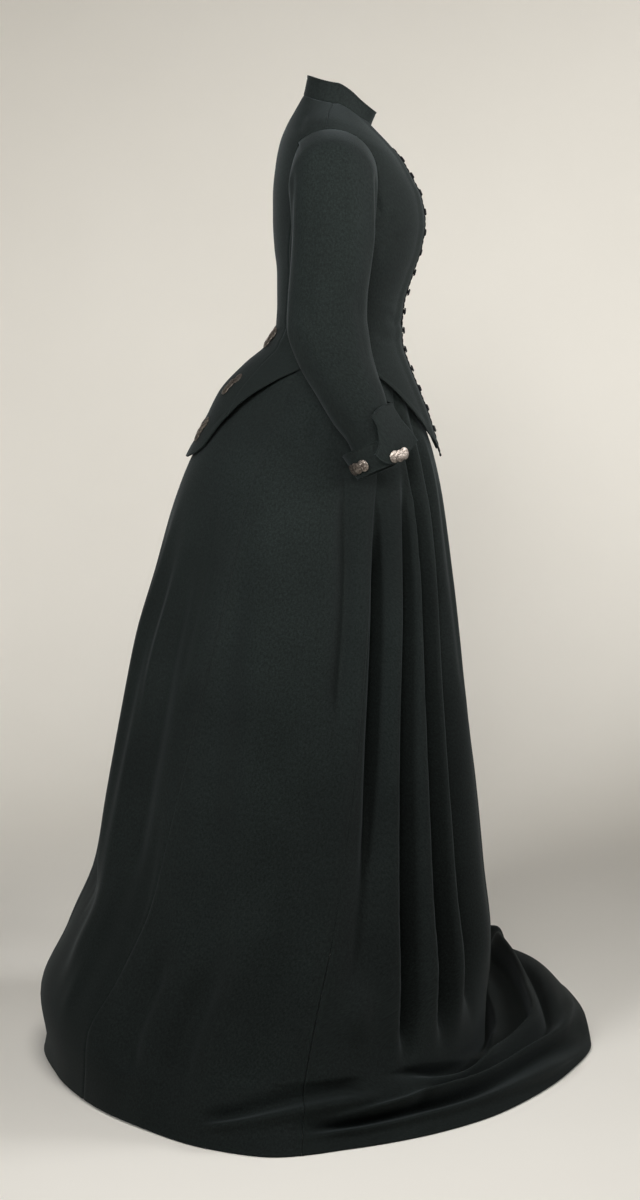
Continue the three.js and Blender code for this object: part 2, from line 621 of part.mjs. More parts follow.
// Lower edge of the skirt on the floor, with the height where the cloth breaks above it and the height of the
// roll between the break and the edge.
const skirtHem = [
  { turn: -34, x: 436, y: -333, breakUp: 40, roll: 62 },
  { turn: -20, x: 302, y: -384, breakUp: 26, roll: 62 },
  { turn: -8, x: 151, y: -401, breakUp: 20, roll: 56 },
  { turn: 3, x: 0, y: -397, breakUp: 20, roll: 46 },
  { turn: 13, x: -135, y: -354, breakUp: 28, roll: 40 },
  { turn: 27, x: -268, y: -281, breakUp: 50, roll: 28 },
  { turn: 40, x: -357, y: -211, breakUp: 70, roll: 19 },
  { turn: 57, x: -432, y: -118, breakUp: 85, roll: 14 },
  { turn: 72, x: -482, y: -22, breakUp: 88, roll: 10 },
  { turn: 90, x: -520, y: 95, breakUp: 86, roll: 8 },
  { turn: 104, x: -487, y: 187, breakUp: 80, roll: 8 },
  { turn: 120, x: -405, y: 283, breakUp: 72, roll: 8 },
  { turn: 137, x: -301, y: 366, breakUp: 60, roll: 8 },
  { turn: 156, x: -160, y: 430, breakUp: 46, roll: 6 },
  { turn: 180, x: 0, y: 464, breakUp: 36, roll: 4 },
  { turn: 204, x: 170, y: 440, breakUp: 44, roll: 6 },
  { turn: 226, x: 335, y: 358, breakUp: 60, roll: 8 },
  { turn: 248, x: 458, y: 228, breakUp: 72, roll: 10 },
  { turn: 270, x: 518, y: 66, breakUp: 78, roll: 16 },
  { turn: 290, x: 526, y: -96, breakUp: 72, roll: 34 },
  { turn: 308, x: 504, y: -242, breakUp: 56, roll: 54 },
  { turn: 326, x: 436, y: -333, breakUp: 40, roll: 62 },
];

// Ridges (up) and creases (down) of the cloth that lies round the feet. Each runs from one turn to another. Its
// shares are its places from the break to the edge, at even steps of that way.
const floorFolds = [
  { from: -12, to: 90, shares: [0.95, 0.78, 0.66, 0.61, 0.59, 0.59, 0.6], wide: 0.11, up: 21 },
  { from: 2, to: 88, shares: [0.97, 0.86, 0.76, 0.71, 0.7, 0.69], wide: 0.06, up: -14 },
  { from: -46, to: 56, shares: [0.8, 0.62, 0.5, 0.57, 0.46, 0.37, 0.33], wide: 0.085, up: 21 },
  { from: -14, to: 82, shares: [0.88, 0.72, 0.49, 0.43, 0.46, 0.5], wide: 0.055, up: -22 },
  { from: -48, to: 66, shares: [0.6, 0.38, 0.31, 0.3, 0.15, 0.08, 0.05], wide: 0.085, up: 20 },
  { from: -46, to: 40, shares: [0.7, 0.5, 0.42, 0.43, 0.3, 0.24], wide: 0.055, up: -22 },
  { from: -34, to: 20, shares: [0.16, 0.13, 0.1], wide: 0.07, up: -18 },
  { from: 66, to: 110, shares: [0.12, 0.17, 0.5], wide: 0.11, up: 13 },
  { from: 62, to: 110, shares: [0.3, 0.36, 0.66], wide: 0.09, up: -11 },
  { from: 258, to: 330, shares: [0.3, 0.36, 0.44, 0.5], wide: 0.09, up: 17 },
  { from: 262, to: 332, shares: [0.5, 0.56, 0.62, 0.7], wide: 0.06, up: -18 },
  { from: 270, to: 336, shares: [0.68, 0.74, 0.8, 0.86], wide: 0.08, up: 12 },
];

const floorFoldEnd = 0.2; // share of a floor fold's length over which either end rises
const liftStart = 0.05; // the folds are whole from this share of the way to the edge
const liftFading = 0.9; // and fade out from this one

function floorLift(turn, share) {
  let up = 0;
  for (const fold of floorFolds) {
    const middle = (fold.from + fold.to) / 2;
    const along = angleBetween(turn, middle) / (fold.to - fold.from) + 0.5;
    if (along <= 0 || along >= 1) continue;
    const away = (share - flowing(fold.shares, along * (fold.shares.length - 1))) / fold.wide;
    const ends = smooth(0, floorFoldEnd, along) * (1 - smooth(1 - floorFoldEnd, 1, along));
    up += fold.up * ends * Math.exp(-away * away);
  }
  return up * smooth(0, liftStart, share) * (1 - smooth(liftFading, 1, share));
}

const skirtTop = 4;
const breakRow = 1; // a row of 0 is the waist, 1 the break and 2 the edge on the floor

function hemValue(turn, name) {
  const first = skirtHem[0].turn;
  const at = first + ((((turn - first) % 360) + 360) % 360);
  return column(skirtHem, 'turn', name, at);
}

// Powers that shape the way from the break to the edge.
const wayShape = { outward: 0.9, fall: 1.7, rollPlace: 1.15, rollEnds: 1.2 };

// The cloth without its floor folds.
function skirtBase(turn, row) {
  const breakZ = floorZ + hemValue(turn, 'breakUp');
  if (row <= breakRow) return skirtRing(turn, mix(skirtTop, breakZ, row));
  const share = row - breakRow;
  const start = skirtRing(turn, breakZ);
  const outward = share ** wayShape.outward;
  const fall = Math.max(1 - share, 0) ** wayShape.fall;
  const swell = Math.max(Math.sin(Math.PI * Math.min(share, 1) ** wayShape.rollPlace), 0) ** wayShape.rollEnds;
  return new THREE.Vector3(
    mix(start.x, hemValue(turn, 'x'), outward),
    mix(start.y, hemValue(turn, 'y'), outward),
    Math.max(restZ, mix(restZ, breakZ, fall) + hemValue(turn, 'roll') * swell),
  );
}

const turnStep = 1; // steps for the slope of the cloth
const rowStep = 0.02;

function skirtPoint(turn, row) {
  const point = skirtBase(turn, row);
  const lift = row > breakRow ? floorLift(turn, row - breakRow) : 0;
  if (lift === 0) return point;
  const around = skirtBase(turn + turnStep, row).sub(skirtBase(turn - turnStep, row));
  const down = skirtBase(turn, row + rowStep).sub(skirtBase(turn, row - rowStep));
  point.addScaledVector(down.cross(around).normalize(), lift);
  return point.setZ(Math.max(restZ, point.z));
}

const skirtRows = [
  0, 0.05, 0.12, 0.21, 0.32, 0.44, 0.56, 0.68, 0.79, 0.88, 0.95,
  1, 1.08, 1.17, 1.25, 1.33, 1.41, 1.49, 1.57, 1.65, 1.73, 1.81, 1.9, 2,
];

// Seams of the skirt, as the turn at the waist and at the floor. A higher bend keeps the seam straight for longer.
const skirtSeams = {
  rightFront: { waist: 55, floor: 84, bend: 1 },
  rightBack: { waist: 117, floor: 141, bend: 1.7 },
  centreBack: { waist: 180, floor: 180, bend: 1 },
  leftBack: { waist: 243, floor: 219, bend: 1.7 },
  leftFront: { waist: 305, floor: 276, bend: 1 },
};

// Places of the columns across a panel. Each stretch runs on from the one before and has its own steps.
function columnPlaces(stretches) {
  const places = [0];
  for (const { to, steps } of stretches) {
    const start = places[places.length - 1];
    for (let i = 1; i <= steps; i += 1) places.push(mix(start, to, i / steps));
  }
  return places;
}

const seamShare = 0.6; // share of the seam gap that each panel keeps from the seam line

function skirtPanel(from, to, stretches) {
  const across = columnPlaces(stretches);
  const seamTurn = (line, row, towards) => {
    const turn = mix(line.waist, line.floor, THREE.MathUtils.clamp(row, 0, 1) ** line.bend);
    const step = 0.05;
    const around = skirtPoint(turn + step, row).sub(skirtPoint(turn - step, row)).divideScalar(2 * step);
    const down = skirtPoint(turn, row + 0.01).sub(skirtPoint(turn, row - 0.01)).normalize();
    return turn + (towards * seamGap * seamShare) / around.cross(down).length();
  };
  const place = (u, v) => {
    const row = listed(skirtRows, v * (skirtRows.length - 1));
    let end = seamTurn(to, row, -1);
    const start = seamTurn(from, row, 1);
    if (end < start) end += 360;
    return skirtPoint(mix(start, end, listed(across, u * (across.length - 1))), row);
  };
  return clothWall(place, across.length - 1, skirtRows.length - 1, { outward: 1 });
}

const { rightFront, rightBack, centreBack: skirtBack, leftBack, leftFront } = skirtSeams;

// Band that carries the skirt, open at the left side.
const band = { low: 4.5, high: 28, openTurn: 270, thickness: 3 };

function waistbandPlace(u, v) {
  const ends = 0.15;
  const turn = mix(band.openTurn + ends, band.openTurn + 360 - ends, u);
  const point = skirtRing(turn, skirtTop);
  return point.setZ(mix(band.low, band.high, v));
}
const bandWall = { outward: -1, thickness: band.thickness };
addPiece('waistband', clothWall(waistbandPlace, 20, 1, bandWall), wool);
const even = [{ to: 1, steps: 10 }];
const folded = [{ to: 0.38, steps: 14 }, { to: 0.62, steps: 10 }, { to: 1, steps: 22 }];
addPiece('skirt_front', skirtPanel(leftFront, rightFront, folded), wool);
addPiece('skirt_side_right', skirtPanel(rightFront, rightBack, even), wool);
addPiece('skirt_back_right', skirtPanel(rightBack, skirtBack, even), wool);
addPiece('skirt_back_left', skirtPanel(skirtBack, leftBack, even), wool);
addPiece('skirt_side_left', skirtPanel(leftBack, leftFront, even), wool);

export default habit;
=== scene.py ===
import math

import bmesh
import bpy
import numpy as np
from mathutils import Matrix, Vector


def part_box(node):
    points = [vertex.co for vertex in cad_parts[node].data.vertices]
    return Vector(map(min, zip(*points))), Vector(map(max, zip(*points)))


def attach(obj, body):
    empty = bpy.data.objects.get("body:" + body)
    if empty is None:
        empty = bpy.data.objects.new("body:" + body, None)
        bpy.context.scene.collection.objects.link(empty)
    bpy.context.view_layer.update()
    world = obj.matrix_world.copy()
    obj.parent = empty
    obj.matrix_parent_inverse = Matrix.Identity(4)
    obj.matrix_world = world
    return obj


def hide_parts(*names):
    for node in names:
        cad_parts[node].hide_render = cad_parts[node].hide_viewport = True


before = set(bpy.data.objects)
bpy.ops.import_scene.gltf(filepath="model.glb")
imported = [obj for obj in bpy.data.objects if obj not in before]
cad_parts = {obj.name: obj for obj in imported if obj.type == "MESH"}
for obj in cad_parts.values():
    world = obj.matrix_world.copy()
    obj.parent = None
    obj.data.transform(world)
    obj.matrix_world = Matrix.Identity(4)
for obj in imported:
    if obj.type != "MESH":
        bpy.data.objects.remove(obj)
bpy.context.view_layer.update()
scene = bpy.context.scene
print("frame loaded,", len(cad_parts), "nodes")

# sizes are in millimetres until a mesh is made
cloth = 2.2
floorZ = -1120
restZ = floorZ + cloth * 1.15  # lowest outer face of the cloth on the floor
sides = {"right": 1, "left": -1}


def table(names, *rows):
    return [dict(zip(names.split(), row)) for row in rows]


def column(rows, key, name, at):
    keys = np.array([row[key] for row in rows], float)
    values = np.array([row[name] for row in rows], float)
    at = np.clip(np.asarray(at, float), keys[0], keys[-1])
    secant = np.diff(values) / np.diff(keys)
    slope = np.zeros_like(values)
    before, after = secant[:-1], secant[1:]
    turning = before * after <= 0
    slope[1:-1] = np.where(turning, 0, 2 * before * after / np.where(turning, 1, before + after))
    i = np.clip(np.searchsorted(keys, at, side="left") - 1, 0, len(keys) - 2)
    span = keys[i + 1] - keys[i]
    s = (at - keys[i]) / span
    rise = values[i + 1] - values[i]
    bends = (s**3 - 2 * s**2 + s) * slope[i] * span + (s**3 - s**2) * slope[i + 1] * span
    return values[i] + rise * (3 * s**2 - 2 * s**3) + bends


# smooth curve through evenly spaced values
def flowing(values, at):
    values = np.array(values, float)
    last = len(values) - 1
    i = np.clip(np.floor(at), 0, last - 1).astype(int)
    a, b, c, d = (values[np.clip(i + k, 0, last)] for k in (-1, 0, 1, 2))
    t = at - i
    return b + 0.5 * t * (c - a + t * (2 * a - 5 * b + 4 * c - d + t * (3 * (b - c) + d - a)))


def smooth(low, high, at):
    s = np.clip((np.asarray(at, float) - low) / (high - low), 0, 1)
    return s * s * (3 - 2 * s)


def mix(a, b, share):
    return a + (b - a) * share


def points(x, y, z):
    return np.stack(np.broadcast_arrays(x, y, z), axis=-1).astype(float)


def bell(away):
    return np.exp(-away * away)


# soft uneven noise over a plane, from a few sine waves
def ripple(a, b, seed, waves=5):
    rng = np.random.default_rng(seed)
    total = np.zeros(np.broadcast(a, b).shape)
    for _ in range(waves):
        direction = rng.uniform(0, math.tau)
        pitch = rng.uniform(0.6, 1.7)
        phase = rng.uniform(0, math.tau)
        total = total + np.sin((a * math.cos(direction) + b * math.sin(direction)) * pitch + phase)
    return total / waves


# creases as straight strokes with a bow, drawn over two coordinates of the cloth
def strokes(a, b, rows):
    depth = np.zeros(np.broadcast(a, b).shape)
    for row in rows:
        start = np.array([row["a0"], row["b0"]], float)
        end = np.array([row["a1"], row["b1"]], float)
        way = end - start
        long = np.hypot(*way)
        along = ((a - start[0]) * way[0] + (b - start[1]) * way[1]) / long**2
        across = ((a - start[0]) * -way[1] + (b - start[1]) * way[0]) / long
        bow = row["bow"] * 4 * np.clip(along, 0, 1) * (1 - np.clip(along, 0, 1))
        fade = smooth(-0.12, 0.25, along) * (1 - smooth(0.7, 1.12, along))
        depth += row["depth"] * fade * bell((across - bow) / row["wide"])
    return depth


# the outer face of a cloth over a grid of u and v, moved out by lift(points, u, v)
def clothPoints(place, u, v, outward, lift=None):
    step = 1e-3
    alongU = place(u + step, v) - place(u - step, v)
    alongV = place(u, v + step) - place(u, v - step)
    normal = np.cross(alongU, alongV)
    normal *= outward / np.maximum(np.linalg.norm(normal, axis=-1, keepdims=True), 1e-9)
    base = place(u, v)
    if lift is not None:
        base = base + normal * lift(base, u, v)[..., None]
    return base


# a cloth dips by dip at its seam, over width, and puffs up by puff beside it
def seamShape(edge, dip, width, puff, puffAt=5):
    return puff * bell((edge - puffAt) / 4) - dip * bell(edge / width)


# steps along one side of a panel, closer together at its two ends
def steps(count, ends=(0.004, 0.012)):
    inside = np.linspace(ends[-1] * 1.8, 1 - ends[-1] * 1.8, count)
    return np.concatenate([[0], ends, inside, 1 - np.array(ends[::-1]), [1]])


def gridMesh(grid, outward):
    rows, columns = grid.shape[:2]
    bm = bmesh.new()
    uv = bm.loops.layers.uv.new("cloth")
    bmesh.ops.create_grid(bm, x_segments=columns - 1, y_segments=rows - 1, size=1)
    verts = list(bm.verts)
    flat = np.array([v.co[:2] for v in verts])
    i = np.rint((flat[:, 0] + 1) / 2 * (columns - 1)).astype(int)
    j = np.rint((flat[:, 1] + 1) / 2 * (rows - 1)).astype(int)
    metres = grid / 1000
    lengthU = np.zeros((rows, columns))
    lengthU[:, 1:] = np.cumsum(np.linalg.norm(np.diff(metres, axis=1), axis=-1), axis=1)
    lengthU -= lengthU[:, [columns // 2]]
    lengthV = np.zeros((rows, columns))
    lengthV[1:] = np.cumsum(np.linalg.norm(np.diff(metres, axis=0), axis=-1), axis=0)
    for vert, a, b in zip(verts, i, j):
        vert.co = metres[b, a]
    if outward < 0:
        bmesh.ops.reverse_faces(bm, faces=list(bm.faces))
    bm.verts.index_update()
    for face in bm.faces:
        face.smooth = True
        for loop in face.loops:
            a, b = i[loop.vert.index], j[loop.vert.index]
            loop[uv].uv = (lengthU[b, a], lengthV[b, a])
    return bm


# takes away the part of a cloth where value(points) is below 0, along a clean edge
def trim(bm, value):
    def at(vert):
        return float(value(np.array(vert.co) * 1000))

    known = {vert: at(vert) for vert in bm.verts}
    crossing = [e for e in bm.edges if known[e.verts[0]] * known[e.verts[1]] < 0]
    fresh = []
    for edge in crossing:
        a, b = edge.verts
        share = known[a] / (known[a] - known[b])
        vert = bmesh.utils.edge_split(edge, a, share)[1]
        known[vert] = 0
        fresh.append(vert)
    bmesh.ops.connect_verts(bm, verts=fresh)
    bmesh.ops.delete(bm, geom=[v for v in bm.verts if known[v] < 0], context="VERTS")
    for face in bm.faces:
        face.smooth = True


def addPiece(name, bm, material, thickness=0, nodes=()):
    mesh = bpy.data.meshes.new(name)
    bm.to_mesh(mesh)
    bm.free()
    piece = bpy.data.objects.new(name, mesh)
    scene.collection.objects.link(piece)
    mesh.materials.append(material)
    if thickness:
        solidify = piece.modifiers.new("Thickness", "SOLIDIFY")
        solidify.thickness = thickness / 1000
        solidify.offset = -1
        solidify.use_even_offset = False
    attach(piece, "root")
    if nodes:
        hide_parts(*nodes)
    return piece


# Materials

def nodeMaterial(name):
    material = bpy.data.materials.new(name)
    material.use_nodes = True
    tree = material.node_tree
    shader = tree.nodes["Principled BSDF"]

    def add(kind, **values):
        node = tree.nodes.new(kind)
        for key, value in values.items():
            if key in node.inputs:
                node.inputs[key].default_value = value
            else:
                setattr(node, key, value)
        return node

    def link(source, target):
        tree.links.new(source, target)

    return material, shader, add, link


def ramp(node, stops):
    elements = node.color_ramp.elements
    while len(elements) < len(stops):
        elements.new(0.5)
    for element, (place, colour) in zip(elements, stops):
        element.position = place
        element.color = (*colour, 1)


woolLook = {
    "deep": (0.0039, 0.0053, 0.0050),
    "plain": (0.0066, 0.0090, 0.0083),
    "raised": (0.0106, 0.0140, 0.0132),
    "specular": 0.10,
    "sheen": 0.065,
    "sheenTint": (0.66, 0.76, 0.80, 1),
}


def woolMaterial(name, look):
    material, shader, add, link = nodeMaterial(name)
    uv = add("ShaderNodeUVMap", uv_map="cloth")
    place = add("ShaderNodeTexCoord")
    # heathered yarn, a little longer along the warp
    stretch = add("ShaderNodeMapping", Scale=(900, 260, 1))
    link(uv.outputs["UV"], stretch.inputs["Vector"])
    warp = add("ShaderNodeTexNoise", Scale=1, Detail=3, Roughness=0.62)
    link(stretch.outputs["Vector"], warp.inputs["Vector"])
    crossed = add("ShaderNodeMapping", Scale=(240, 900, 1))
    link(uv.outputs["UV"], crossed.inputs["Vector"])
    weft = add("ShaderNodeTexNoise", Scale=1, Detail=3, Roughness=0.62)
    link(crossed.outputs["Vector"], weft.inputs["Vector"])
    yarn = add("ShaderNodeMath", operation="ADD")
    link(warp.outputs["Fac"], yarn.inputs[0])
    link(weft.outputs["Fac"], yarn.inputs[1])
    half = add("ShaderNodeMath", operation="MULTIPLY")
    half.inputs[1].default_value = 0.5
    link(yarn.outputs[0], half.inputs[0])
    tone = add("ShaderNodeValToRGB")
    ramp(tone, [(0.34, look["deep"]), (0.5, look["plain"]), (0.68, look["raised"])])
    link(half.outputs[0], tone.inputs["Fac"])
    # flecks of the mixed yarn, larger than the weave
    fleck = add("ShaderNodeTexNoise", Scale=1, Detail=2, Roughness=0.7)
    spread = add("ShaderNodeMapping", Scale=(300, 210, 1))
    link(uv.outputs["UV"], spread.inputs["Vector"])
    link(spread.outputs["Vector"], fleck.inputs["Vector"])
    mixed = add("ShaderNodeMapRange")
    mixed.inputs["From Min"].default_value = 0.32
    mixed.inputs["From Max"].default_value = 0.70
    mixed.inputs["To Min"].default_value = 0.62
    mixed.inputs["To Max"].default_value = 1.45
    link(fleck.outputs["Fac"], mixed.inputs["Value"])
    # faint cloudiness of worn and dusty nap
    cloud = add("ShaderNodeTexNoise", Scale=7, Detail=5, Roughness=0.58)
    link(place.outputs["Object"], cloud.inputs["Vector"])
    soft = add("ShaderNodeMapRange")
    soft.inputs["From Min"].default_value = 0.35
    soft.inputs["From Max"].default_value = 0.68
    soft.inputs["To Min"].default_value = 0.86
    soft.inputs["To Max"].default_value = 1.16
    link(cloud.outputs["Fac"], soft.inputs["Value"])
    shade = add("ShaderNodeVectorMath", operation="SCALE")
    link(tone.outputs["Color"], shade.inputs[0])
    link(soft.outputs["Result"], shade.inputs["Scale"])
    flecked = add("ShaderNodeVectorMath", operation="SCALE")
    link(shade.outputs["Vector"], flecked.inputs[0])
    link(mixed.outputs["Result"], flecked.inputs["Scale"])
    link(flecked.outputs["Vector"], shader.inputs["Base Color"])
    nap = add("ShaderNodeTexNoise", Scale=620, Detail=4, Roughness=0.7)
    link(place.outputs["Object"], nap.inputs["Vector"])
    height = add("ShaderNodeMath", operation="ADD")
    link(half.outputs[0], height.inputs[0])
    link(nap.outputs["Fac"], height.inputs[1])
    bump = add("ShaderNodeBump", Strength=0.35, Distance=0.0005)
    link(height.outputs[0], bump.inputs["Height"])
    link(bump.outputs["Normal"], shader.inputs["Normal"])
    shader.inputs["Roughness"].default_value = 0.86
    shader.inputs["Specular IOR Level"].default_value = look["specular"]
    shader.inputs["Sheen Weight"].default_value = look["sheen"]
    shader.inputs["Sheen Roughness"].default_value = 0.42
    shader.inputs["Sheen Tint"].default_value = look["sheenTint"]
    return material


wool = woolMaterial("darkWool", woolLook)


def metalMaterial(name, low, high, roughness, metallic, specular, scale):
    material, shader, add, link = nodeMaterial(name)
    place = add("ShaderNodeTexCoord")
    stain = add("ShaderNodeTexNoise", Scale=scale, Detail=6, Roughness=0.6)
    link(place.outputs["Object"], stain.inputs["Vector"])
    tone = add("ShaderNodeValToRGB")
    ramp(tone, [(0.38, low), (0.62, high)])
    link(stain.outputs["Fac"], tone.inputs["Fac"])
    link(tone.outputs["Color"], shader.inputs["Base Color"])
    rough = add("ShaderNodeMapRange")
    rough.inputs["To Min"].default_value = roughness + 0.16
    rough.inputs["To Max"].default_value = roughness - 0.06
    link(stain.outputs["Fac"], rough.inputs["Value"])
    link(rough.outputs["Result"], shader.inputs["Roughness"])
    fine = add("ShaderNodeTexNoise", Scale=2400, Detail=3)
    link(place.outputs["Object"], fine.inputs["Vector"])
    bump = add("ShaderNodeBump", Strength=0.3, Distance=0.0001)
    link(fine.outputs["Fac"], bump.inputs["Height"])
    link(bump.outputs["Normal"], shader.inputs["Normal"])
    shader.inputs["Metallic"].default_value = metallic
    shader.inputs["Specular IOR Level"].default_value = specular
    return material


silver = metalMaterial("wornSilver", (0.09, 0.072, 0.060), (0.40, 0.35, 0.31), 0.36, 1.0, 0.5, 260)
jet = metalMaterial("darkJet", (0.003, 0.003, 0.0035), (0.009, 0.009, 0.010), 0.5, 0.0, 0.08, 400)
# near-black material for the strip on the front edge: painted shade standing in for the shadow at the lap's
# edge
shadeStrip = metalMaterial("paintedShadeStrip", (0.002, 0.002, 0.0024), (0.007, 0.007, 0.008), 0.8, 0.0, 0.04, 900)
print("materials made")


# Jacket
jacketRings = table(
    "level front back half mid frontZ sideZ backZ",
    (-190, -152, 236, 172, 35, -190, -190, -190),
    (-130, -134.5, 205, 158, 26, -130, -130, -130),
    (-85, -117, 181, 144, 18, -85, -85, -85),
    (-45, -101, 143, 127, 10, -45, -45, -45),
    (-15, -92, 109, 111, 5, -15, -15, -15),
    (12, -91, 97, 105, 3, 12, 12, 12),
    (45, -94, 95, 110, 2, 45, 45, 45),
    (90, -107, 95, 123, 2, 90, 90, 90),
    (130, -120, 99, 133, 4, 130, 130, 130),
    (165, -125, 101, 137, 6, 165, 168, 168),
    (200, -120, 101, 141, 9, 200, 208, 206),
    (240, -104, 97, 148, 12, 234, 258, 250),
    (275, -87, 90, 154, 14, 262, 296, 285),
    (300, -71.5, 80, 132, 12, 281, 315, 310),
    (325, -57, 66, 90, 8, 296, 332, 335),
    (345, -45, 55, 58, 4, 308, 342, 354),
)
ringFall = 1.35  # how late a slanted ring falls to its front or back


def jacketPoint(turn, level):
    turn, level = np.broadcast_arrays(np.asarray(turn, float), np.asarray(level, float))
    value = {name: column(jacketRings, "level", name, level) for name in jacketRings[0]}
    c, s = np.cos(np.radians(turn)), np.sin(np.radians(turn))
    reach = np.where(c > 0, value["mid"] - value["front"], value["back"] - value["mid"])
    endZ = np.where(c > 0, value["frontZ"], value["backZ"])
    z = value["sideZ"] + (endZ - value["sideZ"]) * np.abs(c) ** ringFall
    return points(-value["half"] * s, value["mid"] - reach * c, z)


jacketHem = table(
    "turn level",
    (0, -168), (12, -150), (28, -110), (45, -72), (65, -45), (85, -34), (105, -40),
    (122, -56), (138, -88), (150, -126), (158, -160), (165, -170), (180, -181),
)
jacketSeams = table(
    "level side sideBack back",
    (-190, 84, 112, 146), (-60, 84, 112, 146), (12, 84, 114, 148), (90, 82, 112, 144),
    (165, 80, 106, 134), (205, 80, 100, 121), (240, 88, 98, 106), (275, 98, 98, 98), (345, 98, 98, 98),
)
rowLevels = np.array([-22, 6, 36, 70, 105, 140, 172, 204, 236, 262, 284, 304, 325, 345], float)
hemRows = 4
neckRows = hemRows + len(rowLevels) - 1
armhole = {"x": 118, "y": 15, "z": 236, "foreAft": 69, "height": 69}
frontLap, underLap, lapRaise = 11, 14, cloth + 0.5
seamSpace = 0.18


def rowLevel(row, bottom):
    low = mix(bottom, rowLevels[0], np.clip(row, None, hemRows) / hemRows)
    i = np.clip(np.floor(row - hemRows), 0, len(rowLevels) - 2).astype(int)
    high = mix(rowLevels[i], rowLevels[i + 1], row - hemRows - i)
    return np.where(row <= hemRows, low, high)


def seam(name, towards):
    def turn(level):
        middle = column(jacketSeams, "level", name, level)
        speed = np.linalg.norm(jacketPoint(middle + 0.5, level) - jacketPoint(middle - 0.5, level), axis=-1)
        return middle + towards * seamSpace / speed
    return turn


def centreBack(level):
    return 180 - np.degrees(seamSpace / column(jacketRings, "level", "half", level))


def edgeTurn(distance):
    return lambda level: np.degrees(np.arcsin(distance / column(jacketRings, "level", "half", level)))


# creases of the bodice in the side view: a is y and b is z
bodiceCreases = table(
    "a0 b0 a1 b1 bow wide depth",
    (-84, 176, -52, 148, 3, 7, -2.0),
    (-88, 150, -60, 118, 4, 6, -1.2),
    (-40, 222, -60, 178, -2, 5, -1.8),
    (-70, 30, -98, 12, 2, 4, -1.1),
    (-62, 16, -96, 2, 2, 4.5, 1.0),
    (-52, 4, -92, -12, 3, 4, -1.0),
    (-50, 44, -84, 36, -2, 5, 0.8),
    (60, 28, 96, 8, -2, 5, -0.9),
    (66, 8, 98, -14, -2, 5, 0.8),
    (48, 330, 60, 300, 3, 6, -0.9),
    (70, 120, 76, 40, 3, 6, -0.9),
)


def armholeValue(point):
    fore = (point[1] - armhole["y"]) / armhole["foreAft"]
    rise = (point[2] - armhole["z"]) / armhole["height"]
    return 1.0 if abs(point[0]) < armhole["x"] else fore**2 + rise**2 - 1.0


panelTall = 420  # rough height of a panel, for the turned edge of its hem


def jacketPanel(side, word, name, fromTurn, toTurn, rowCount, columns):
    def place(u, v):
        hemTurn = mix(fromTurn(0.0), toTurn(0.0), u)
        bottom = column(jacketHem, "turn", "level", np.abs(hemTurn))
        level = rowLevel(v * rowCount, bottom)
        found = jacketPoint(mix(fromTurn(level), toTurn(level), u), level)
        found[..., 0] *= side
        return found

    rows = np.concatenate([[0, 0.002, 0.005, 0.009], np.linspace(0.014, 1, rowCount * 6)])
    u, v = np.meshgrid(steps(columns), rows)

    def lift(base, u, v):
        up = 1.7 * strokes(base[..., 1], base[..., 2], bodiceCreases)
        up = up + 0.6 * ripple(base[..., 1] / 26, base[..., 2] / 38 + base[..., 0] / 50, 3 + side)
        if name == "front" and side > 0:
            up = up + lapRaise * smooth(-underLap - 34, -underLap - 13, base[..., 0])
        seamward = 1 - u if name == "front" else np.minimum(u, 1 - u)
        edge = seamward * np.linalg.norm(base[:, -1] - base[:, 0], axis=-1)[:, None]
        up = up + seamShape(edge, 0.55, 1.6, 0.22)
        turned = v * panelTall
        return up + 0.5 * (1 - smooth(9, 13, turned)) - 0.35 * bell((turned - 13.5) / 1.6)

    grid = clothPoints(place, u, v, -side, lift)
    bm = gridMesh(grid, -side)
    trim(bm, armholeValue)
    title = name.title().replace("_", "")
    piece = addPiece(f"jacket{title}{word.title()}", bm, wool, cloth, [f"jacket_{name}_{word}"])
    return piece


# front, side, side-back and back panels of each half of the jacket: their two edges, rows and columns
for word, side in sides.items():
    frontEdge = edgeTurn(-frontLap if side > 0 else -underLap)
    panels = {
        "front": (frontEdge, seam("side", -1), neckRows, 56),
        "side": (seam("side", 1), seam("sideBack", -1), 11, 18),
        "side_back": (seam("sideBack", 1), seam("back", -1), 13, 24),
        "back": (seam("back", 1), centreBack, neckRows, 40),
    }
    for name, (fromTurn, toTurn, rowCount, columns) in panels.items():
        jacketPanel(side, word, name, fromTurn, toTurn, rowCount, columns)
print("jacket made")

# Collar
collar = {
    "endTurn": 2,
    "neckLevel": 345.0,
    "baseGap": -0.3,
    "leanBack": -6,
    "flareFront": 9,
    "frontDrop": 9,
    "height": 31,
    "wall": 2.6,
}


def collarPlace(u, v):
    turn = mix(collar["endTurn"], 360 - collar["endTurn"], u)
    base = jacketPoint(turn, collar["neckLevel"])
    front = smooth(0.55, 1, np.cos(np.radians(turn)))
    lean = mix(collar["leanBack"], collar["flareFront"], front) * v
    height = (collar["height"] - collar["frontDrop"] * front) * v + collar["baseGap"]
    out = points(base[..., 0], base[..., 1] - 4, 0)
    out /= np.linalg.norm(out, axis=-1, keepdims=True)
    return base + out * lean[..., None] + points(0, 0, height)


def collarLift(base, u, v):
    above = v * collar["height"]
    up = 0.5 * ripple(u * 26, v * 3, 21) - 0.5 * bell(above / 1.5) + 0.3 * bell((above - 4) / 3)
    dimple = bell((u - 0.72) / 0.012) * bell((v - 0.2) / 0.4)
    return up - 1.3 * dimple + 0.5 * smooth(0.86, 0.93, v) - 0.3 * bell((v - 0.84) / 0.03)


u, v = np.meshgrid(np.linspace(0, 1, 150), np.linspace(0, 1, 22))
bm = gridMesh(clothPoints(collarPlace, u, v, -1, collarLift), -1)
piece = addPiece("collarStand", bm, wool, collar["wall"], ["collar"])
print("collar made")

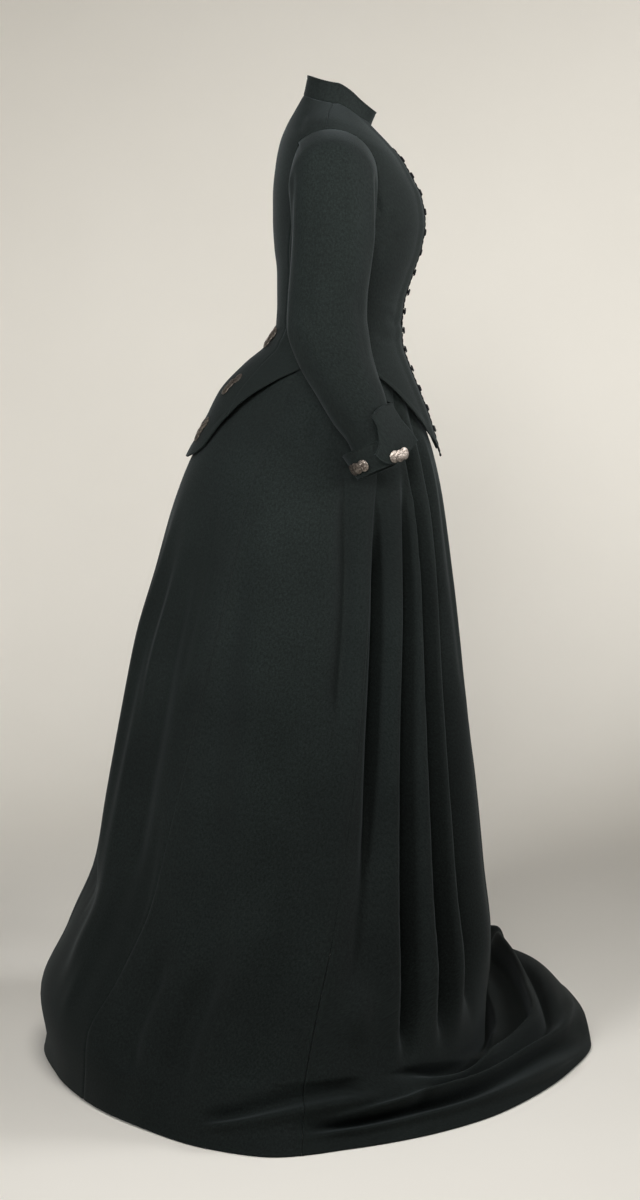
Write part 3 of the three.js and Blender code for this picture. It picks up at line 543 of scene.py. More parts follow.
# Sleeves
sleeveSections = table(
    "down x y z acrossX acrossZ foreY foreZ",
    (0, -150, 14, 236, 0, 68, -68, 0),
    (1, -174, 12, 224, -25, 65, -65, 0),
    (2, -186, 11, 196, -41, 48, -63, 0),
    (3, -190, 11, 158, -47, 24, -61, 0),
    (4, -191, 14, 112, -48, 4, -59, 0),
    (5, -190, 19, 62, -48, 0, -58, 2),
    (6, -191, 20, 26, -47, 2, -58, 7),
    (7, -194, 9.5, -19, -45, 5, -52.5, 14),
    (8, -199, -8, -60, -42, 6, -45.5, 14.5),
    (9, -205, -26, -98, -38.5, 6, -39.5, 16),
    (10, -210, -43, -140, -33, 5, -28.5, 13),
    (11, -216, -53.7, -186, -30, 5.4, -25.8, 11.3),
)


def ringPoint(rows, key, at, angle):
    at, angle = np.broadcast_arrays(np.asarray(at, float), np.asarray(angle, float))
    value = {name: column(rows, key, name, at) for name in rows[0]}
    c, s = np.cos(np.radians(angle)), np.sin(np.radians(angle))
    return points(
        value["x"] + value["acrossX"] * c,
        value["y"] + value["foreY"] * s,
        value["z"] + value["acrossZ"] * c + value["foreZ"] * s,
    )


# edge of the armhole at an angle from its top (0) through its front (90)
def armholeEdge(angle):
    y = armhole["y"] - armhole["foreAft"] * np.sin(np.radians(angle))
    z = armhole["z"] + armhole["height"] * np.cos(np.radians(angle))
    behind = y > 12
    low, high = np.where(behind, 90.0, 0.0), np.where(behind, 180.0, 90.0)
    level = z.copy()
    for _ in range(60):
        turn = (low + high) / 2
        found = jacketPoint(turn, level)
        level = level + (z - found[..., 2]) * 0.6
        past = found[..., 1] > y
        low, high = np.where(past, low, turn), np.where(past, turn, high)
    spread = column(jacketRings, "level", "half", z)
    mid = column(jacketRings, "level", "mid", z)
    reach = column(jacketRings, "level", "back", z) - mid
    flat = points(-armhole["x"], mid + reach * np.sqrt(1 - (armhole["x"] / spread) ** 2), z)
    return np.where((found[..., 0] > -armhole["x"])[..., None], flat, found)


edgeAngles = np.linspace(-180, 180, 361)
edgePoints = armholeEdge(edgeAngles)
sleeve = {"capRows": 1.3, "front": 104, "back": -108, "gap": 0.15}
sleeveRows = np.array([0, 0.3, 0.8, 1.4, 2, 2.8, 3.8, 5, 6, 7, 8, 9, 10, 11], float)


def listed(values, at):
    i = np.clip(np.floor(at), 0, len(values) - 2).astype(int)
    return mix(values[i], values[i + 1], at - i)


def sleevePoint(angle, down):
    found = ringPoint(sleeveSections, "down", down, angle)
    around = (np.asarray(angle, float) + 180) % 360 - 180
    edge = np.stack([np.interp(around, edgeAngles, edgePoints[:, k]) for k in range(3)], axis=-1)
    flat = ringPoint(sleeveSections, "down", 0.0, angle)
    share = np.clip(1 - down / sleeve["capRows"], 0, None) ** 2
    return found + (edge - flat) * np.asarray(share)[..., None]


# creases of a sleeve: a is the angle round it, b the row down it
sleeveCreases = table(
    "a0 b0 a1 b1 bow wide depth",
    (-20, 5.4, -70, 5.9, 2, 9, -1.4),
    (-26, 6.1, -84, 6.5, 3, 9, 1.2),
    (-30, 6.6, -80, 7.2, -2, 8, -1.2),
    (40, 5.5, 90, 6.2, 2, 9, -1.5),
    (34, 6.2, 96, 6.6, -2, 8, 1.1),
    (48, 6.9, 92, 7.4, 2, 8, -1.0),
    (70, 1.2, 96, 3.2, -4, 7, -1.8),
    (58, 1.6, 84, 4.0, 3, 7, 1.0),
    (-60, 1.4, -92, 3.4, 3, 8, -1.4),
    (-10, 1.1, -34, 4.6, 5, 10, -0.9),
    (14, 1.2, 26, 4.2, -5, 10, 0.8),
    (20, 9.6, 70, 10.2, 2, 8, -1.0),
    (-50, 9.0, -10, 10.4, 2, 9, -0.8),
)
rowReach = 12  # stretches the rows to about the scale of the angles
for row in sleeveCreases:
    row["b0"] *= rowReach
    row["b1"] *= rowReach


def sleevePanel(side, word, name, fromAngle, toAngle, columns):
    def place(u, v):
        down = np.clip(listed(sleeveRows, v * (len(sleeveRows) - 1)), -0.01, None)
        found = sleevePoint(mix(fromAngle, toAngle, u), down)
        found[..., 0] *= side
        return found

    def lift(base, u, v):
        angle = mix(fromAngle, toAngle, u)
        down = listed(sleeveRows, v * (len(sleeveRows) - 1))
        around = (angle + 180) % 360 - 180
        up = 1.8 * strokes(around, down * rowReach, sleeveCreases)
        up = up + 0.7 * ripple(angle / 26, down * 1.1, 5 + side)
        width = np.linalg.norm(base[:, -1] - base[:, 0], axis=-1)[:, None]
        edge = np.minimum(u, 1 - u) * np.maximum(width, 60)
        up = up + seamShape(edge, 0.5, 1.6, 0.2)
        fullness = 0.5 * bell((down - 0.42) / 0.4) * smooth(-40, -5, around) * (1 - smooth(10, 60, around))
        return up + fullness - 0.6 * bell(down / 0.06)

    u, v = np.meshgrid(steps(columns), np.concatenate([[0, 0.002, 0.005], np.linspace(0.01, 1, 130)]))
    grid = clothPoints(place, u, v, -side, lift)
    title = name.title().replace("_", "")
    bm = gridMesh(grid, -side)
    piece = addPiece(f"sleeve{title}{word.title()}", bm, wool, cloth, [f"sleeve_{name}_{word}"])
    return piece


# Cuffs
cuffRings = table(
    "up x y z acrossX acrossZ foreY foreZ",
    (0, -216, -54, -187, -34, 6, -29.5, 12.5),
    (1, -212, -41.5, -150, -41.6, 7, -39.2, 16),
)
cuffBand = {"from": 66, "to": 425.5, "thickness": 2.6}
flapEdges = table(
    "up sideY sideZ midY midZ frontY frontZ",
    (0, -50, -157, -80, -171, -113, -142),
    (0.3, -56, -143, -81, -148, -104, -129),
    (0.65, -54, -123, -71, -119, -89, -111),
    (1, -45, -103, -59, -90, -75, -88),
)
flap = {"wrap": 85, "lowHalf": 48, "highHalf": 44.5, "crease": 0.9}


def bandPlace(u, v):
    return ringPoint(cuffRings, "up", v, mix(cuffBand["from"], cuffBand["to"], u))


def flapPlace(u, v):
    level = np.clip(v, 0, 1)
    fromFront = np.abs(2 * u - 1)
    near = np.clip(1 - fromFront, 0, None) ** flap["crease"]

    def bend(axis):
        edges = [column(flapEdges, "up", f"{part}{axis}", level) for part in ("side", "mid", "front")]
        pull = 2 * edges[1] - (edges[0] + edges[2]) / 2
        return (1 - near) ** 2 * edges[0] + 2 * near * (1 - near) * pull + near**2 * edges[2]

    z = bend("Z") + np.clip(v - 1, 0, None) * 50 + np.clip(v, None, 0) * 50
    armX = -204 + (z + 90) * 0.134
    half = mix(flap["lowHalf"], flap["highHalf"], v)
    wrapped = half * np.sin(np.radians(flap["wrap"] * fromFront))
    return points(armX + np.sign(u - 0.5) * wrapped, bend("Y"), z)


def mirrored(place, side):
    def placed(u, v):
        found = place(u, v)
        found[..., 0] *= side
        return found
    return placed


# a turned and stitched edge: along the top and bottom, or along every side
def raisedEdge(u, v, around, tall, every):
    distance = np.minimum(v, 1 - v) * tall
    if every:
        distance = np.minimum(distance, np.minimum(u, 1 - u) * around)
    return 0.55 * (1 - smooth(2.2, 4, distance)) - 0.4 * bell((distance - 4.6) / 1.1)


def bandEdges(base, u, v):
    return raisedEdge(u, v, 230, 40, False)


def flapEdge(base, u, v):
    return raisedEdge(u, v, 190, 70, True)


nodeBox = {name: [np.array(corner) * 1000 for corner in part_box(name)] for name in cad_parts}


def moveTo(bm, node):
    low, high = nodeBox[node]
    found = np.array([v.co for v in bm.verts]) * 1000
    shift = (low + high) / 2 - (found.min(axis=0) + found.max(axis=0)) / 2
    bmesh.ops.translate(bm, verts=list(bm.verts), vec=Vector(shift / 1000))


for word, side in sides.items():
    front, back, gap = sleeve["front"], sleeve["back"], sleeve["gap"]
    sleevePanel(side, word, "upper", back + gap, front - gap, 76)
    sleevePanel(side, word, "under", front + gap, 360 + back - gap, 48)
    rows = np.concatenate([[0, 0.03, 0.07], np.linspace(0.11, 0.9, 14), [0.93, 0.97, 1]])
    u, v = np.meshgrid(np.linspace(0, 1, 150), rows)
    bm = gridMesh(clothPoints(mirrored(bandPlace, side), u, v, side, bandEdges), side)
    piece = addPiece(f"cuffBand{word.title()}", bm, wool, cuffBand["thickness"], [f"cuff_band_{word}"])
    rows = np.concatenate([[0, 0.02, 0.05], np.linspace(0.08, 0.92, 40), [0.95, 0.98, 1]])
    u, v = np.meshgrid(np.linspace(0, 1, 101), rows)
    bm = gridMesh(clothPoints(mirrored(flapPlace, side), u, v, side, flapEdge), side)
    moveTo(bm, f"cuff_flap_{word}")
    piece = addPiece(f"cuffFlap{word.title()}", bm, wool, cuffBand["thickness"], [f"cuff_flap_{word}"])
print("sleeves and cuffs made")

# Buttons
discLook = {"radius": 9.0, "petals": 8, "rings": 22, "around": 72, "shank": 1.0}
smallLook = {"radius": 5.5, "lobes": 7, "rings": 14, "around": 49, "shank": 3.0}


def discHeight(r, angle, look):
    petals = np.abs(np.cos(angle * look["petals"] / 2))
    flower = 0.55 * petals * bell((r - 0.5) / 0.2) + 0.5 * bell(r / 0.14)
    leaves = 0.3 * np.abs(np.sin(angle * look["petals"] / 2)) ** 3 * bell((r - 0.7) / 0.09)
    beads = 0.3 * (0.6 + 0.4 * np.cos(angle * 36)) * bell((r - 0.9) / 0.05)
    return 1.1 + 1.1 * (1 - r**2) + 1.25 * (flower + leaves) + beads


def smallHeight(r, angle, look):
    outer = 0.5 * np.cos(angle * look["lobes"]) * bell((r - 0.72) / 0.2)
    inner = 0.35 * np.cos(angle * 4 + 1) * bell((r - 0.36) / 0.2)
    return 1.0 + 1.7 * np.sqrt(np.clip(1 - r**2, 0, 1)) + 1.2 * (outer + inner)


def buttonShape(look, height, foot):
    bm = bmesh.new()
    radius = look["radius"] / 1000
    face = [(share, share) for share in np.linspace(0, 1, look["rings"] + 1)]
    below = [(0.97, -0.6), (foot, -1.0)]
    if look["shank"] > 1:
        below.append((foot, -look["shank"]))
    below.append((0, -look["shank"]))
    line = [bm.verts.new((share * radius, 0, up / 1000)) for share, up in face + below]
    edges = [bm.edges.new(pair) for pair in zip(line, line[1:])]
    around = {"axis": (0, 0, 1), "angle": math.tau, "steps": look["around"]}
    bmesh.ops.spin(bm, geom=line + edges, cent=(0, 0, 0), use_merge=True, **around)
    bmesh.ops.remove_doubles(bm, verts=list(bm.verts), dist=1e-6)
    for vert in bm.verts:
        if vert.co.z >= 0:
            r = min(math.hypot(vert.co.x, vert.co.y) / radius, 1)
            angle = math.atan2(vert.co.y, vert.co.x)
            vert.co.z = float(height(r, angle, look)) / 1000
        else:
            vert.co.z += 0.001
    bmesh.ops.recalc_face_normals(bm, faces=list(bm.faces))
    for face in bm.faces:
        face.smooth = True
    return bm


def standing(place, u, v, outward, distance):
    step = 2e-3
    one, two = np.array([u + step, u - step, u, u, u]), np.array([v, v, v + step, v - step, v])
    found = place(one, two)
    normal = np.cross(found[0] - found[1], found[2] - found[3])
    normal *= outward / np.linalg.norm(normal)
    turn = Vector((0, 0, 1)).rotation_difference(Vector(normal))
    return turn, Vector((found[4] + normal * distance) / 1000)


lapRise = 0.8  # the middle button of three lies over the other two


def joinedButtons(look, height, foot, spots):
    whole = bmesh.new()
    for order, (turn, spot) in enumerate(spots):
        bm = buttonShape(look, height, foot)
        lapped = turn @ Vector((0, 0, lapRise / 1000 * (order % 2)))
        bmesh.ops.rotate(bm, verts=list(bm.verts), cent=(0, 0, 0), matrix=turn.to_matrix())
        bmesh.ops.translate(bm, verts=list(bm.verts), vec=spot + lapped)
        mesh = bpy.data.meshes.new("button")
        bm.to_mesh(mesh)
        bm.free()
        whole.from_mesh(mesh)
        bpy.data.meshes.remove(mesh)
    return whole


# Front buttons
frontButtons = {"count": 15, "first": 270, "last": -144, "turn": 0.4}
for i in range(frontButtons["count"]):
    level = mix(frontButtons["first"], frontButtons["last"], i / (frontButtons["count"] - 1))
    spot = standing(jacketPoint, frontButtons["turn"], level, -1, 4)
    bm = joinedButtons(smallLook, smallHeight, 0.5, [spot])
    moveTo(bm, f"front_button_{i + 1}")
    addPiece(f"frontButton{i + 1}", bm, jet, 0, [f"front_button_{i + 1}"])

# Dark strip along the front edge beside the buttons: painted shadow, a near-black cord put where the lap's
# turned edge and the underlap are only in shade
frontShadeStrip = {
    "turn": 3.7,
    "top": 292,
    "foot": -182,
    "lift": 2.7,
    "radius": 1.3,
    "twist": 0.3,
    "twistStep": 0.55,
    "steps": 620,
    "around": 10,
}
bm = bmesh.new()
rings = []
for i in range(frontShadeStrip["steps"] + 1):
    share = i / frontShadeStrip["steps"]
    level = mix(frontShadeStrip["top"], frontShadeStrip["foot"], share)
    turn, spot = standing(jacketPoint, frontShadeStrip["turn"], level, -1, frontShadeStrip["lift"])
    ends = smooth(0, 0.004, share) * (1 - smooth(0.996, 1, share)) * 0.7 + 0.3
    ring = []
    for j in range(frontShadeStrip["around"]):
        angle = math.tau * j / frontShadeStrip["around"]
        lump = 1 + frontShadeStrip["twist"] * math.sin(2 * angle + i * frontShadeStrip["twistStep"])
        radius = frontShadeStrip["radius"] * lump * ends
        around = Vector((radius * math.cos(angle), 0, radius * math.sin(angle)))
        ring.append(bm.verts.new(spot + turn @ around / 1000))
    rings.append(ring)
for above, below in zip(rings, rings[1:]):
    for j in range(frontShadeStrip["around"]):
        k = (j + 1) % frontShadeStrip["around"]
        bm.faces.new((above[j], above[k], below[k], below[j]))
bm.faces.new(rings[0])
bm.faces.new(rings[-1][::-1])
bmesh.ops.recalc_face_normals(bm, faces=list(bm.faces))
for face in bm.faces:
    face.smooth = True
# the strip is painted shadow, a dark sheet where the front edge is only in shade
addPiece("frontShadeStrip", bm, shadeStrip, 0, [])

# Groups of three metal buttons on the tail and the cuffs
tailTrios = table(
    "name turn drift level",
    ("waist", 164, 0.5, 1),
    ("middle", 158, 1, -66),
    ("low", 166, 0.5, -133),
)
trioDrop = 8.6  # from one button of a tail group to the next
trioStand = 7  # height of the first button over the cloth, before the group is seated
cuffTrios = {
    "flap": (flapPlace, {"u": 0.2, "uStep": 0.055, "v": 0.17, "vStep": -0.01}),
    "band": (bandPlace, {"u": 0.64, "uStep": 0.045, "v": 0.42, "vStep": 0}),
}


def addTrio(name, node, spots):
    bm = joinedButtons(discLook, discHeight, 0.8, spots)
    moveTo(bm, node)
    addPiece(name, bm, silver, 0, [node])


for word, side in sides.items():
    for row in tailTrios:
        spots = []
        for i in range(3):
            turn, level = row["turn"] + row["drift"] * i, row["level"] - trioDrop * i
            spots.append(standing(mirrored(jacketPoint, side), turn, level, -side, trioStand + i))
        name = f"tailButtons{row['name'].title()}{word.title()}"
        addTrio(name, f"tail_buttons_{row['name']}_{word}", spots)
    for part, (place, trio) in cuffTrios.items():
        spots = []
        for i in range(3):
            u, v = trio["u"] + trio["uStep"] * i, trio["v"] + trio["vStep"] * i
            spots.append(standing(mirrored(place, side), u, v, side, trioStand + i))
        addTrio(f"cuff{part.title()}Buttons{word.title()}", f"cuff_{part}_buttons_{word}", spots)
print("buttons made")

# Skirt
skirtRings = table(
    "z front back half far mid",
    (-1090, -228, 457, 470, 440, 88),
    (-1020, -230, 467, 436, 415, 84),
    (-924, -231, 424, 402, 388, 78),
    (-822, -220.5, 379, 372, 362, 70),
    (-722, -210.5, 361, 343, 336, 65),
    (-590, -195, 336, 303, 300, 58),
    (-459, -180, 309, 264, 262, 51),
    (-368, -171, 283, 236, 235, 45),
    (-263, -159, 255, 205, 205, 38),
    (-180, -141.5, 222, 178, 178, 30),
    (-100, -112, 168, 146, 146, 18),
    (-40, -91, 122, 119.7, 119.7, 8),
    (0, -84, 91, 97, 97, 2),
    (26, -84, 89, 97, 97, 2),
)
skirtFolds = table(
    "top foot turns wide depth",
    (-60, -240, (42, 36), 5, -7),
    (-60, -1050, (31, 29.2, 33.6, 36.2, 34.7), 4, 14),
    (-60, -1040, (26, 24.5, 27.5, 28, 25), 5.2, -26),
    (-60, -1050, (43, 42.3, 44.8, 46.3, 45), 3.6, 14),
    (-60, -1050, (38, 37.4, 39.8, 41.5, 40.5), 3.4, -30),
    (-150, -1056, (49, 52.5, 57, 59, 58.5), 4.6, 16),
    (-150, -1056, (44.5, 48.2, 52.4, 54.6, 54.4), 3.2, -36),
    (-170, -980, (60.4, 61, 63.6, 67.6, 70.8), 3.6, -34),
    (-190, -960, (67, 68, 72, 77, 80), 5, 9),
    (-150, -560, (78, 75.5, 77.5), 4.5, -11),
    (-200, -1030, (9, 11, 14, 15, 12), 6, 8),
    (-330, -960, (106, 104), 7, 8),
    (-240, -760, (117, 114), 5, -8),
    (-280, -820, (141, 144), 6, -12),
    (-270, -1000, (148, 155), 5, 13),
    (-220, -860, (163, 161), 5, 14),
    (-240, -900, (172, 171), 5, -9),
    (-230, -980, (183, 185), 5, 5),
    (-250, -900, (196, 195), 5, -11),
    (-220, -1000, (207, 203), 6, 13),
    (-300, -960, (221, 218), 6, -10),
    (-330, -980, (252, 250), 7, 8),
    (-300, -1000, (284, 281), 7, -9),
    (-880, -1060, (112, 114), 6, -13),
    (-860, -1060, (125, 128), 5, -12),
    (-220, -1030, (296, 293, 292), 5, 10),
    (-200, -1020, (303, 300, 299), 4.4, -24),
    (-180, -1030, (311, 308, 306), 4.6, 13),
    (-160, -1040, (318, 316, 313), 4.4, -27),
    (-120, -1040, (326, 324, 321), 4.6, 13),
    (-90, -1000, (334, 333, 330), 4.8, -20),
    (-220, -1040, (351, 352), 6, 7),
)
# smaller folds that only show from near
fineFolds = table(
    "top foot turns wide depth",
    (-72, -118, (124, 110), 2.4, -4),
    (-84, -128, (131, 119), 2.2, 3),
    (-104, -160, (95, 96), 2.4, -3.5),
    (-96, -170, (88, 87), 2.2, 2.5),
    (-60, -190, (37, 33), 2, -5),
    (-90, -260, (24, 22), 2.2, -4),
    (-130, -420, (18, 20), 2.4, 4),
    (-170, -560, (12, 14), 2.6, -3.5),
    (-420, -980, (22, 28), 2.6, -4),
    (-500, -1000, (41, 42), 2, -5),
    (-620, -1020, (66, 70), 2.4, 3.5),
    (-560, -1000, (88, 90), 3, -2.5),
    (-700, -1020, (97, 99), 2.6, 3),
    (-240, -520, (132, 134), 2.4, -3.5),
    (-300, -700, (153, 150), 2.2, -4),
    (-600, -1020, (146, 150), 2.6, 4),
    (-640, -1010, (134, 137), 2.4, -3.5),
    (-420, -900, (166, 167), 2, -3),
    (-90, -300, (202, 205), 3, 4),
    (-120, -420, (228, 226), 3, -4),
    (-500, -980, (236, 232), 3, 4),
    (-100, -220, (262, 264), 2.6, -3),
    (-480, -1010, (268, 266), 3, -3.5),
    (-90, -260, (318, 322), 2.4, -4.5),
    (-420, -1000, (329, 328), 2.4, -4),
    (-120, -360, (344, 342), 2.6, 4),
    (-600, -1030, (343, 343), 2.6, -4),
    (-500, -1040, (4, 6), 2.6, 4),
    (-560, -1000, (64.8, 67.8, 71), 3.6, 17),
    (-800, -1075, (107, 111, 115), 4.2, -12),
    (-820, -1060, (100, 105, 109), 3.4, 6),
    (-860, -1060, (124, 127), 3, -7),
    # sharp bottoms of the deep folds
    (-60, -1040, (26, 24.5, 27.5, 28, 25), 2.2, -14),
    (-60, -1050, (38, 37.4, 39.8, 41.5, 40.5), 2.2, -20),
    (-150, -1056, (44.5, 48.2, 52.4, 54.6, 54.4), 2.2, -24),
    (-170, -800, (60.4, 61, 62.6, 65.4, 68), 2.4, -16),
    (-150, -560, (78, 75.5, 77.5), 1.6, -6),
)


def angleBetween(a, b):
    return (a - b + 180) % 360 - 180


# points that a row of a table can reach, as its turns and its widest spread say
def nearRow(turn, low, high, spread):
    return np.abs(angleBetween(turn, (low + high) / 2)) < (high - low) / 2 + spread


foldReach = 3  # a fold ends at this many times its width
foldGrown = 0.35  # share of its length over which a fold deepens
foldFading = 0.86  # share from which it fades out


def foldDepth(turn, z, rows):
    depth = np.zeros(turn.shape)
    for row in rows:
        near = nearRow(turn, min(row["turns"]), max(row["turns"]), foldReach * row["wide"])
        if not near.any():
            continue
        share = (row["top"] - z[near]) / (row["top"] - row["foot"])
        centre = flowing(row["turns"], share * (len(row["turns"]) - 1))
        away = angleBetween(turn[near], centre) / row["wide"]
        fade = smooth(0, foldGrown, share) * (1 - smooth(foldFading, 1, share))
        inside = (share > 0) & (share < 1) & (np.abs(away) < foldReach)
        depth[near] += np.where(inside, row["depth"] * fade * bell(away), 0)
    return depth


def skirtRing(turn, z):
    turn, z = np.broadcast_arrays(np.asarray(turn, float), np.asarray(z, float))
    value = {name: column(skirtRings, "z", name, z) for name in skirtRings[0]}
    c, s = np.cos(np.radians(turn)), np.sin(np.radians(turn))
    reach = np.where(c > 0, value["mid"] - value["front"], value["back"] - value["mid"])
    half = np.where(s > 0, value["half"], value["far"])
    depth = foldDepth(turn, z, skirtFolds) + foldDepth(turn, z, fineFolds)
    return points(-half * s, value["mid"] - reach * c, z) + points(-s, -c, 0) * depth[..., None]


skirtHem = table(
    "turn x y breakUp roll",
    (-34, 436, -333, 40, 62),
    (-20, 302, -384, 26, 62),
    (-8, 151, -401, 20, 56),
    (3, 0, -397, 20, 46),
    (13, -135, -354, 28, 40),
    (27, -268, -281, 50, 28),
    (40, -357, -211, 70, 19),
    (57, -432, -118, 85, 14),
    (72, -482, -22, 88, 10),
    (90, -520, 95, 86, 8),
    (104, -487, 187, 80, 8),
    (120, -405, 283, 72, 8),
    (137, -301, 366, 60, 8),
    (156, -160, 430, 46, 6),
    (180, 0, 464, 36, 4),
    (204, 170, 440, 44, 6),
    (226, 335, 358, 60, 8),
    (248, 458, 228, 72, 10),
    (270, 518, 66, 78, 16),
    (290, 526, -96, 72, 34),
    (308, 504, -242, 56, 54),
    (326, 436, -333, 40, 62),
)
floorFolds = table(
    "from to shares wide up",
    (-12, 90, (0.95, 0.78, 0.66, 0.61, 0.59, 0.59, 0.6), 0.11, 21),
    (2, 88, (0.97, 0.86, 0.76, 0.71, 0.7, 0.69), 0.06, -14),
    (-46, 56, (0.8, 0.62, 0.5, 0.57, 0.46, 0.37, 0.33), 0.085, 21),
    (-14, 82, (0.88, 0.72, 0.49, 0.43, 0.46, 0.5), 0.055, -22),
    (-48, 66, (0.6, 0.38, 0.31, 0.3, 0.15, 0.08, 0.05), 0.085, 20),
    (-46, 40, (0.7, 0.5, 0.42, 0.43, 0.3, 0.24), 0.055, -22),
    (-34, 20, (0.16, 0.13, 0.1), 0.07, -18),
    (66, 110, (0.12, 0.17, 0.5), 0.11, 13),
    (62, 110, (0.3, 0.36, 0.66), 0.09, -11),
    (258, 330, (0.3, 0.36, 0.44, 0.5), 0.09, 17),
    (262, 332, (0.5, 0.56, 0.62, 0.7), 0.06, -18),
    (270, 336, (0.68, 0.74, 0.8, 0.86), 0.08, 12),
)


floorFoldEnd = 0.2  # share of a floor fold's length over which either end rises
liftStart = 0.05  # the floor folds are whole from this share of the way to the edge
liftFading = 0.9  # and fade out from this one


def floorLift(turn, share):
    up = np.zeros(turn.shape)
    for row in floorFolds:
        near = nearRow(turn, row["from"], row["to"], 0) & (share > 0)
        if not near.any():
            continue
        middle = (row["from"] + row["to"]) / 2
        along = angleBetween(turn[near], middle) / (row["to"] - row["from"]) + 0.5
        away = (share[near] - flowing(row["shares"], along * (len(row["shares"]) - 1))) / row["wide"]
        ends = smooth(0, floorFoldEnd, along) * (1 - smooth(1 - floorFoldEnd, 1, along))
        up[near] += row["up"] * ends * bell(away)
    return up * smooth(0, liftStart, share) * (1 - smooth(liftFading, 1, share))


def hemValue(turn, name):
    first = skirtHem[0]["turn"]
    return column(skirtHem, "turn", name, first + (turn - first) % 360)


skirtTop = 4
# powers that shape the way from the break to the edge
wayShape = {"outward": 0.9, "fall": 1.7, "rollPlace": 1.15, "rollEnds": 1.2}


# the cloth without its floor folds: row 0 is the waist, 1 the break and 2 the edge on the floor
def skirtBase(turn, row):
    turn, row = np.broadcast_arrays(np.asarray(turn, float), np.asarray(row, float))
    breakZ = floorZ + hemValue(turn, "breakUp")
    hung = skirtRing(turn, mix(skirtTop, breakZ, np.minimum(row, 1)))
    share = np.clip(row - 1, 0, None)
    outward = share ** wayShape["outward"]
    fall = np.clip(1 - share, 0, None) ** wayShape["fall"]
    swell = np.sin(math.pi * np.minimum(share, 1) ** wayShape["rollPlace"])
    roll = hemValue(turn, "roll") * np.clip(swell, 0, None) ** wayShape["rollEnds"]
    x = mix(hung[..., 0], hemValue(turn, "x"), outward)
    y = mix(hung[..., 1], hemValue(turn, "y"), outward)
    laid = points(x, y, np.maximum(restZ, mix(restZ, breakZ, fall) + roll))
    return np.where((row <= 1)[..., None], hung, laid)


turnStep, rowStep = 1, 0.02  # steps for the slope of the cloth


def skirtPoint(turn, row):
    turn, row = np.broadcast_arrays(np.asarray(turn, float), np.asarray(row, float))
    found = skirtBase(turn, row)
    lift = floorLift(turn, np.clip(row - 1, 0, None))
    moved = lift != 0
    if moved.any():
        turn, row = turn[moved], row[moved]
        around = skirtBase(turn + turnStep, row) - skirtBase(turn - turnStep, row)
        down = skirtBase(turn, row + rowStep) - skirtBase(turn, row - rowStep)
        out = np.cross(down, around)
        out /= np.linalg.norm(out, axis=-1)[..., None]
        laid = found[moved] + out * lift[moved][..., None]
        laid[..., 2] = np.maximum(laid[..., 2], restZ)
        found[moved] = laid
    return found


skirtRows = np.array([
    0, 0.05, 0.12, 0.21, 0.32, 0.44, 0.56, 0.68, 0.79, 0.88, 0.95,
    1, 1.08, 1.17, 1.25, 1.33, 1.41, 1.49, 1.57, 1.65, 1.73, 1.81, 1.9, 2,
])
# turn of each seam at the waist and at the floor, and how late it swings from one to the other
skirtSeams = {
    "rightFront": (55, 84, 1),
    "rightBack": (117, 141, 1.7),
    "centreBack": (180, 180, 1),
    "leftBack": (243, 219, 1.7),
    "leftFront": (305, 276, 1),
}


def skirtPanel(name, fromSeam, toSeam, columns, node, sheetSize):
    def seamTurn(line, row, towards):
        waist, floor, bend = skirtSeams[line]
        turn = mix(waist, floor, np.clip(row, 0, 1) ** bend)
        around = (skirtPoint(turn + 0.05, row) - skirtPoint(turn - 0.05, row)) * 10
        down = skirtPoint(turn, row + 0.01) - skirtPoint(turn, row - 0.01)
        down /= np.linalg.norm(down, axis=-1)[..., None]
        return turn + towards * seamSpace / np.linalg.norm(np.cross(around, down), axis=-1)

    def place(u, v):
        row = listed(skirtRows, v * (len(skirtRows) - 1))
        start, end = seamTurn(fromSeam, row, 1), seamTurn(toSeam, row, -1)
        end = np.where(end < start, end + 360, end)
        return skirtPoint(mix(start, end, u), row)

    def lift(base, u, v):
        up = 0.6 * ripple(base[..., 0] / 34 + base[..., 1] / 40, base[..., 2] / 90, 31 + columns)
        width = np.linalg.norm(base[:, -1] - base[:, 0], axis=-1)[:, None]
        edge = np.minimum(u, 1 - u) * np.maximum(width, 40)
        return up * smooth(0, 0.04, v) * (1 - smooth(0.94, 0.99, v)) + seamShape(edge, 0.7, 1.8, 0.25, 6)

    u, v = np.meshgrid(steps(columns, (0.0016, 0.004)), np.linspace(0, 1, 145))
    grid = clothPoints(place, u, v, 1, lift)
    grid[..., 2] = np.maximum(grid[..., 2], floorZ + cloth + 0.2)
    piece = addPiece(name, gridMesh(grid, 1), wool, cloth, [node])
    return piece


# each panel: its seams, its columns, its node and the width, length and area of its cut in metres
skirtPanels = {
    "skirtFront": ("leftFront", "rightFront", 190, "skirt_front", (1.6, 1.5, 1.25)),
    "skirtSideRight": ("rightFront", "rightBack", 90, "skirt_side_right", (0.45, 1.32, 0.315)),
    "skirtBackRight": ("rightBack", "centreBack", 90, "skirt_back_right", (0.42, 1.3, 0.31)),
    "skirtBackLeft": ("centreBack", "leftBack", 90, "skirt_back_left", (0.42, 1.3, 0.31)),
    "skirtSideLeft": ("leftBack", "leftFront", 90, "skirt_side_left", (0.45, 1.32, 0.315)),
}
for name, facts in skirtPanels.items():
    skirtPanel(name, *facts)

band = {"low": 4.5, "high": 28, "openTurn": 270, "slit": 0.15, "thickness": 3}


def waistbandPlace(u, v):
    turn = band["openTurn"] + mix(band["slit"], 360 - band["slit"], u)
    found = skirtRing(turn, float(skirtTop))
    found[..., 2] = mix(band["low"], band["high"], v)
    return found


u, v = np.meshgrid(np.linspace(0, 1, 160), np.linspace(0, 1, 9))
bm = gridMesh(clothPoints(waistbandPlace, u, v, -1), -1)
piece = addPiece("skirtBand", bm, wool, band["thickness"], ["waistband"])
print("skirt made")

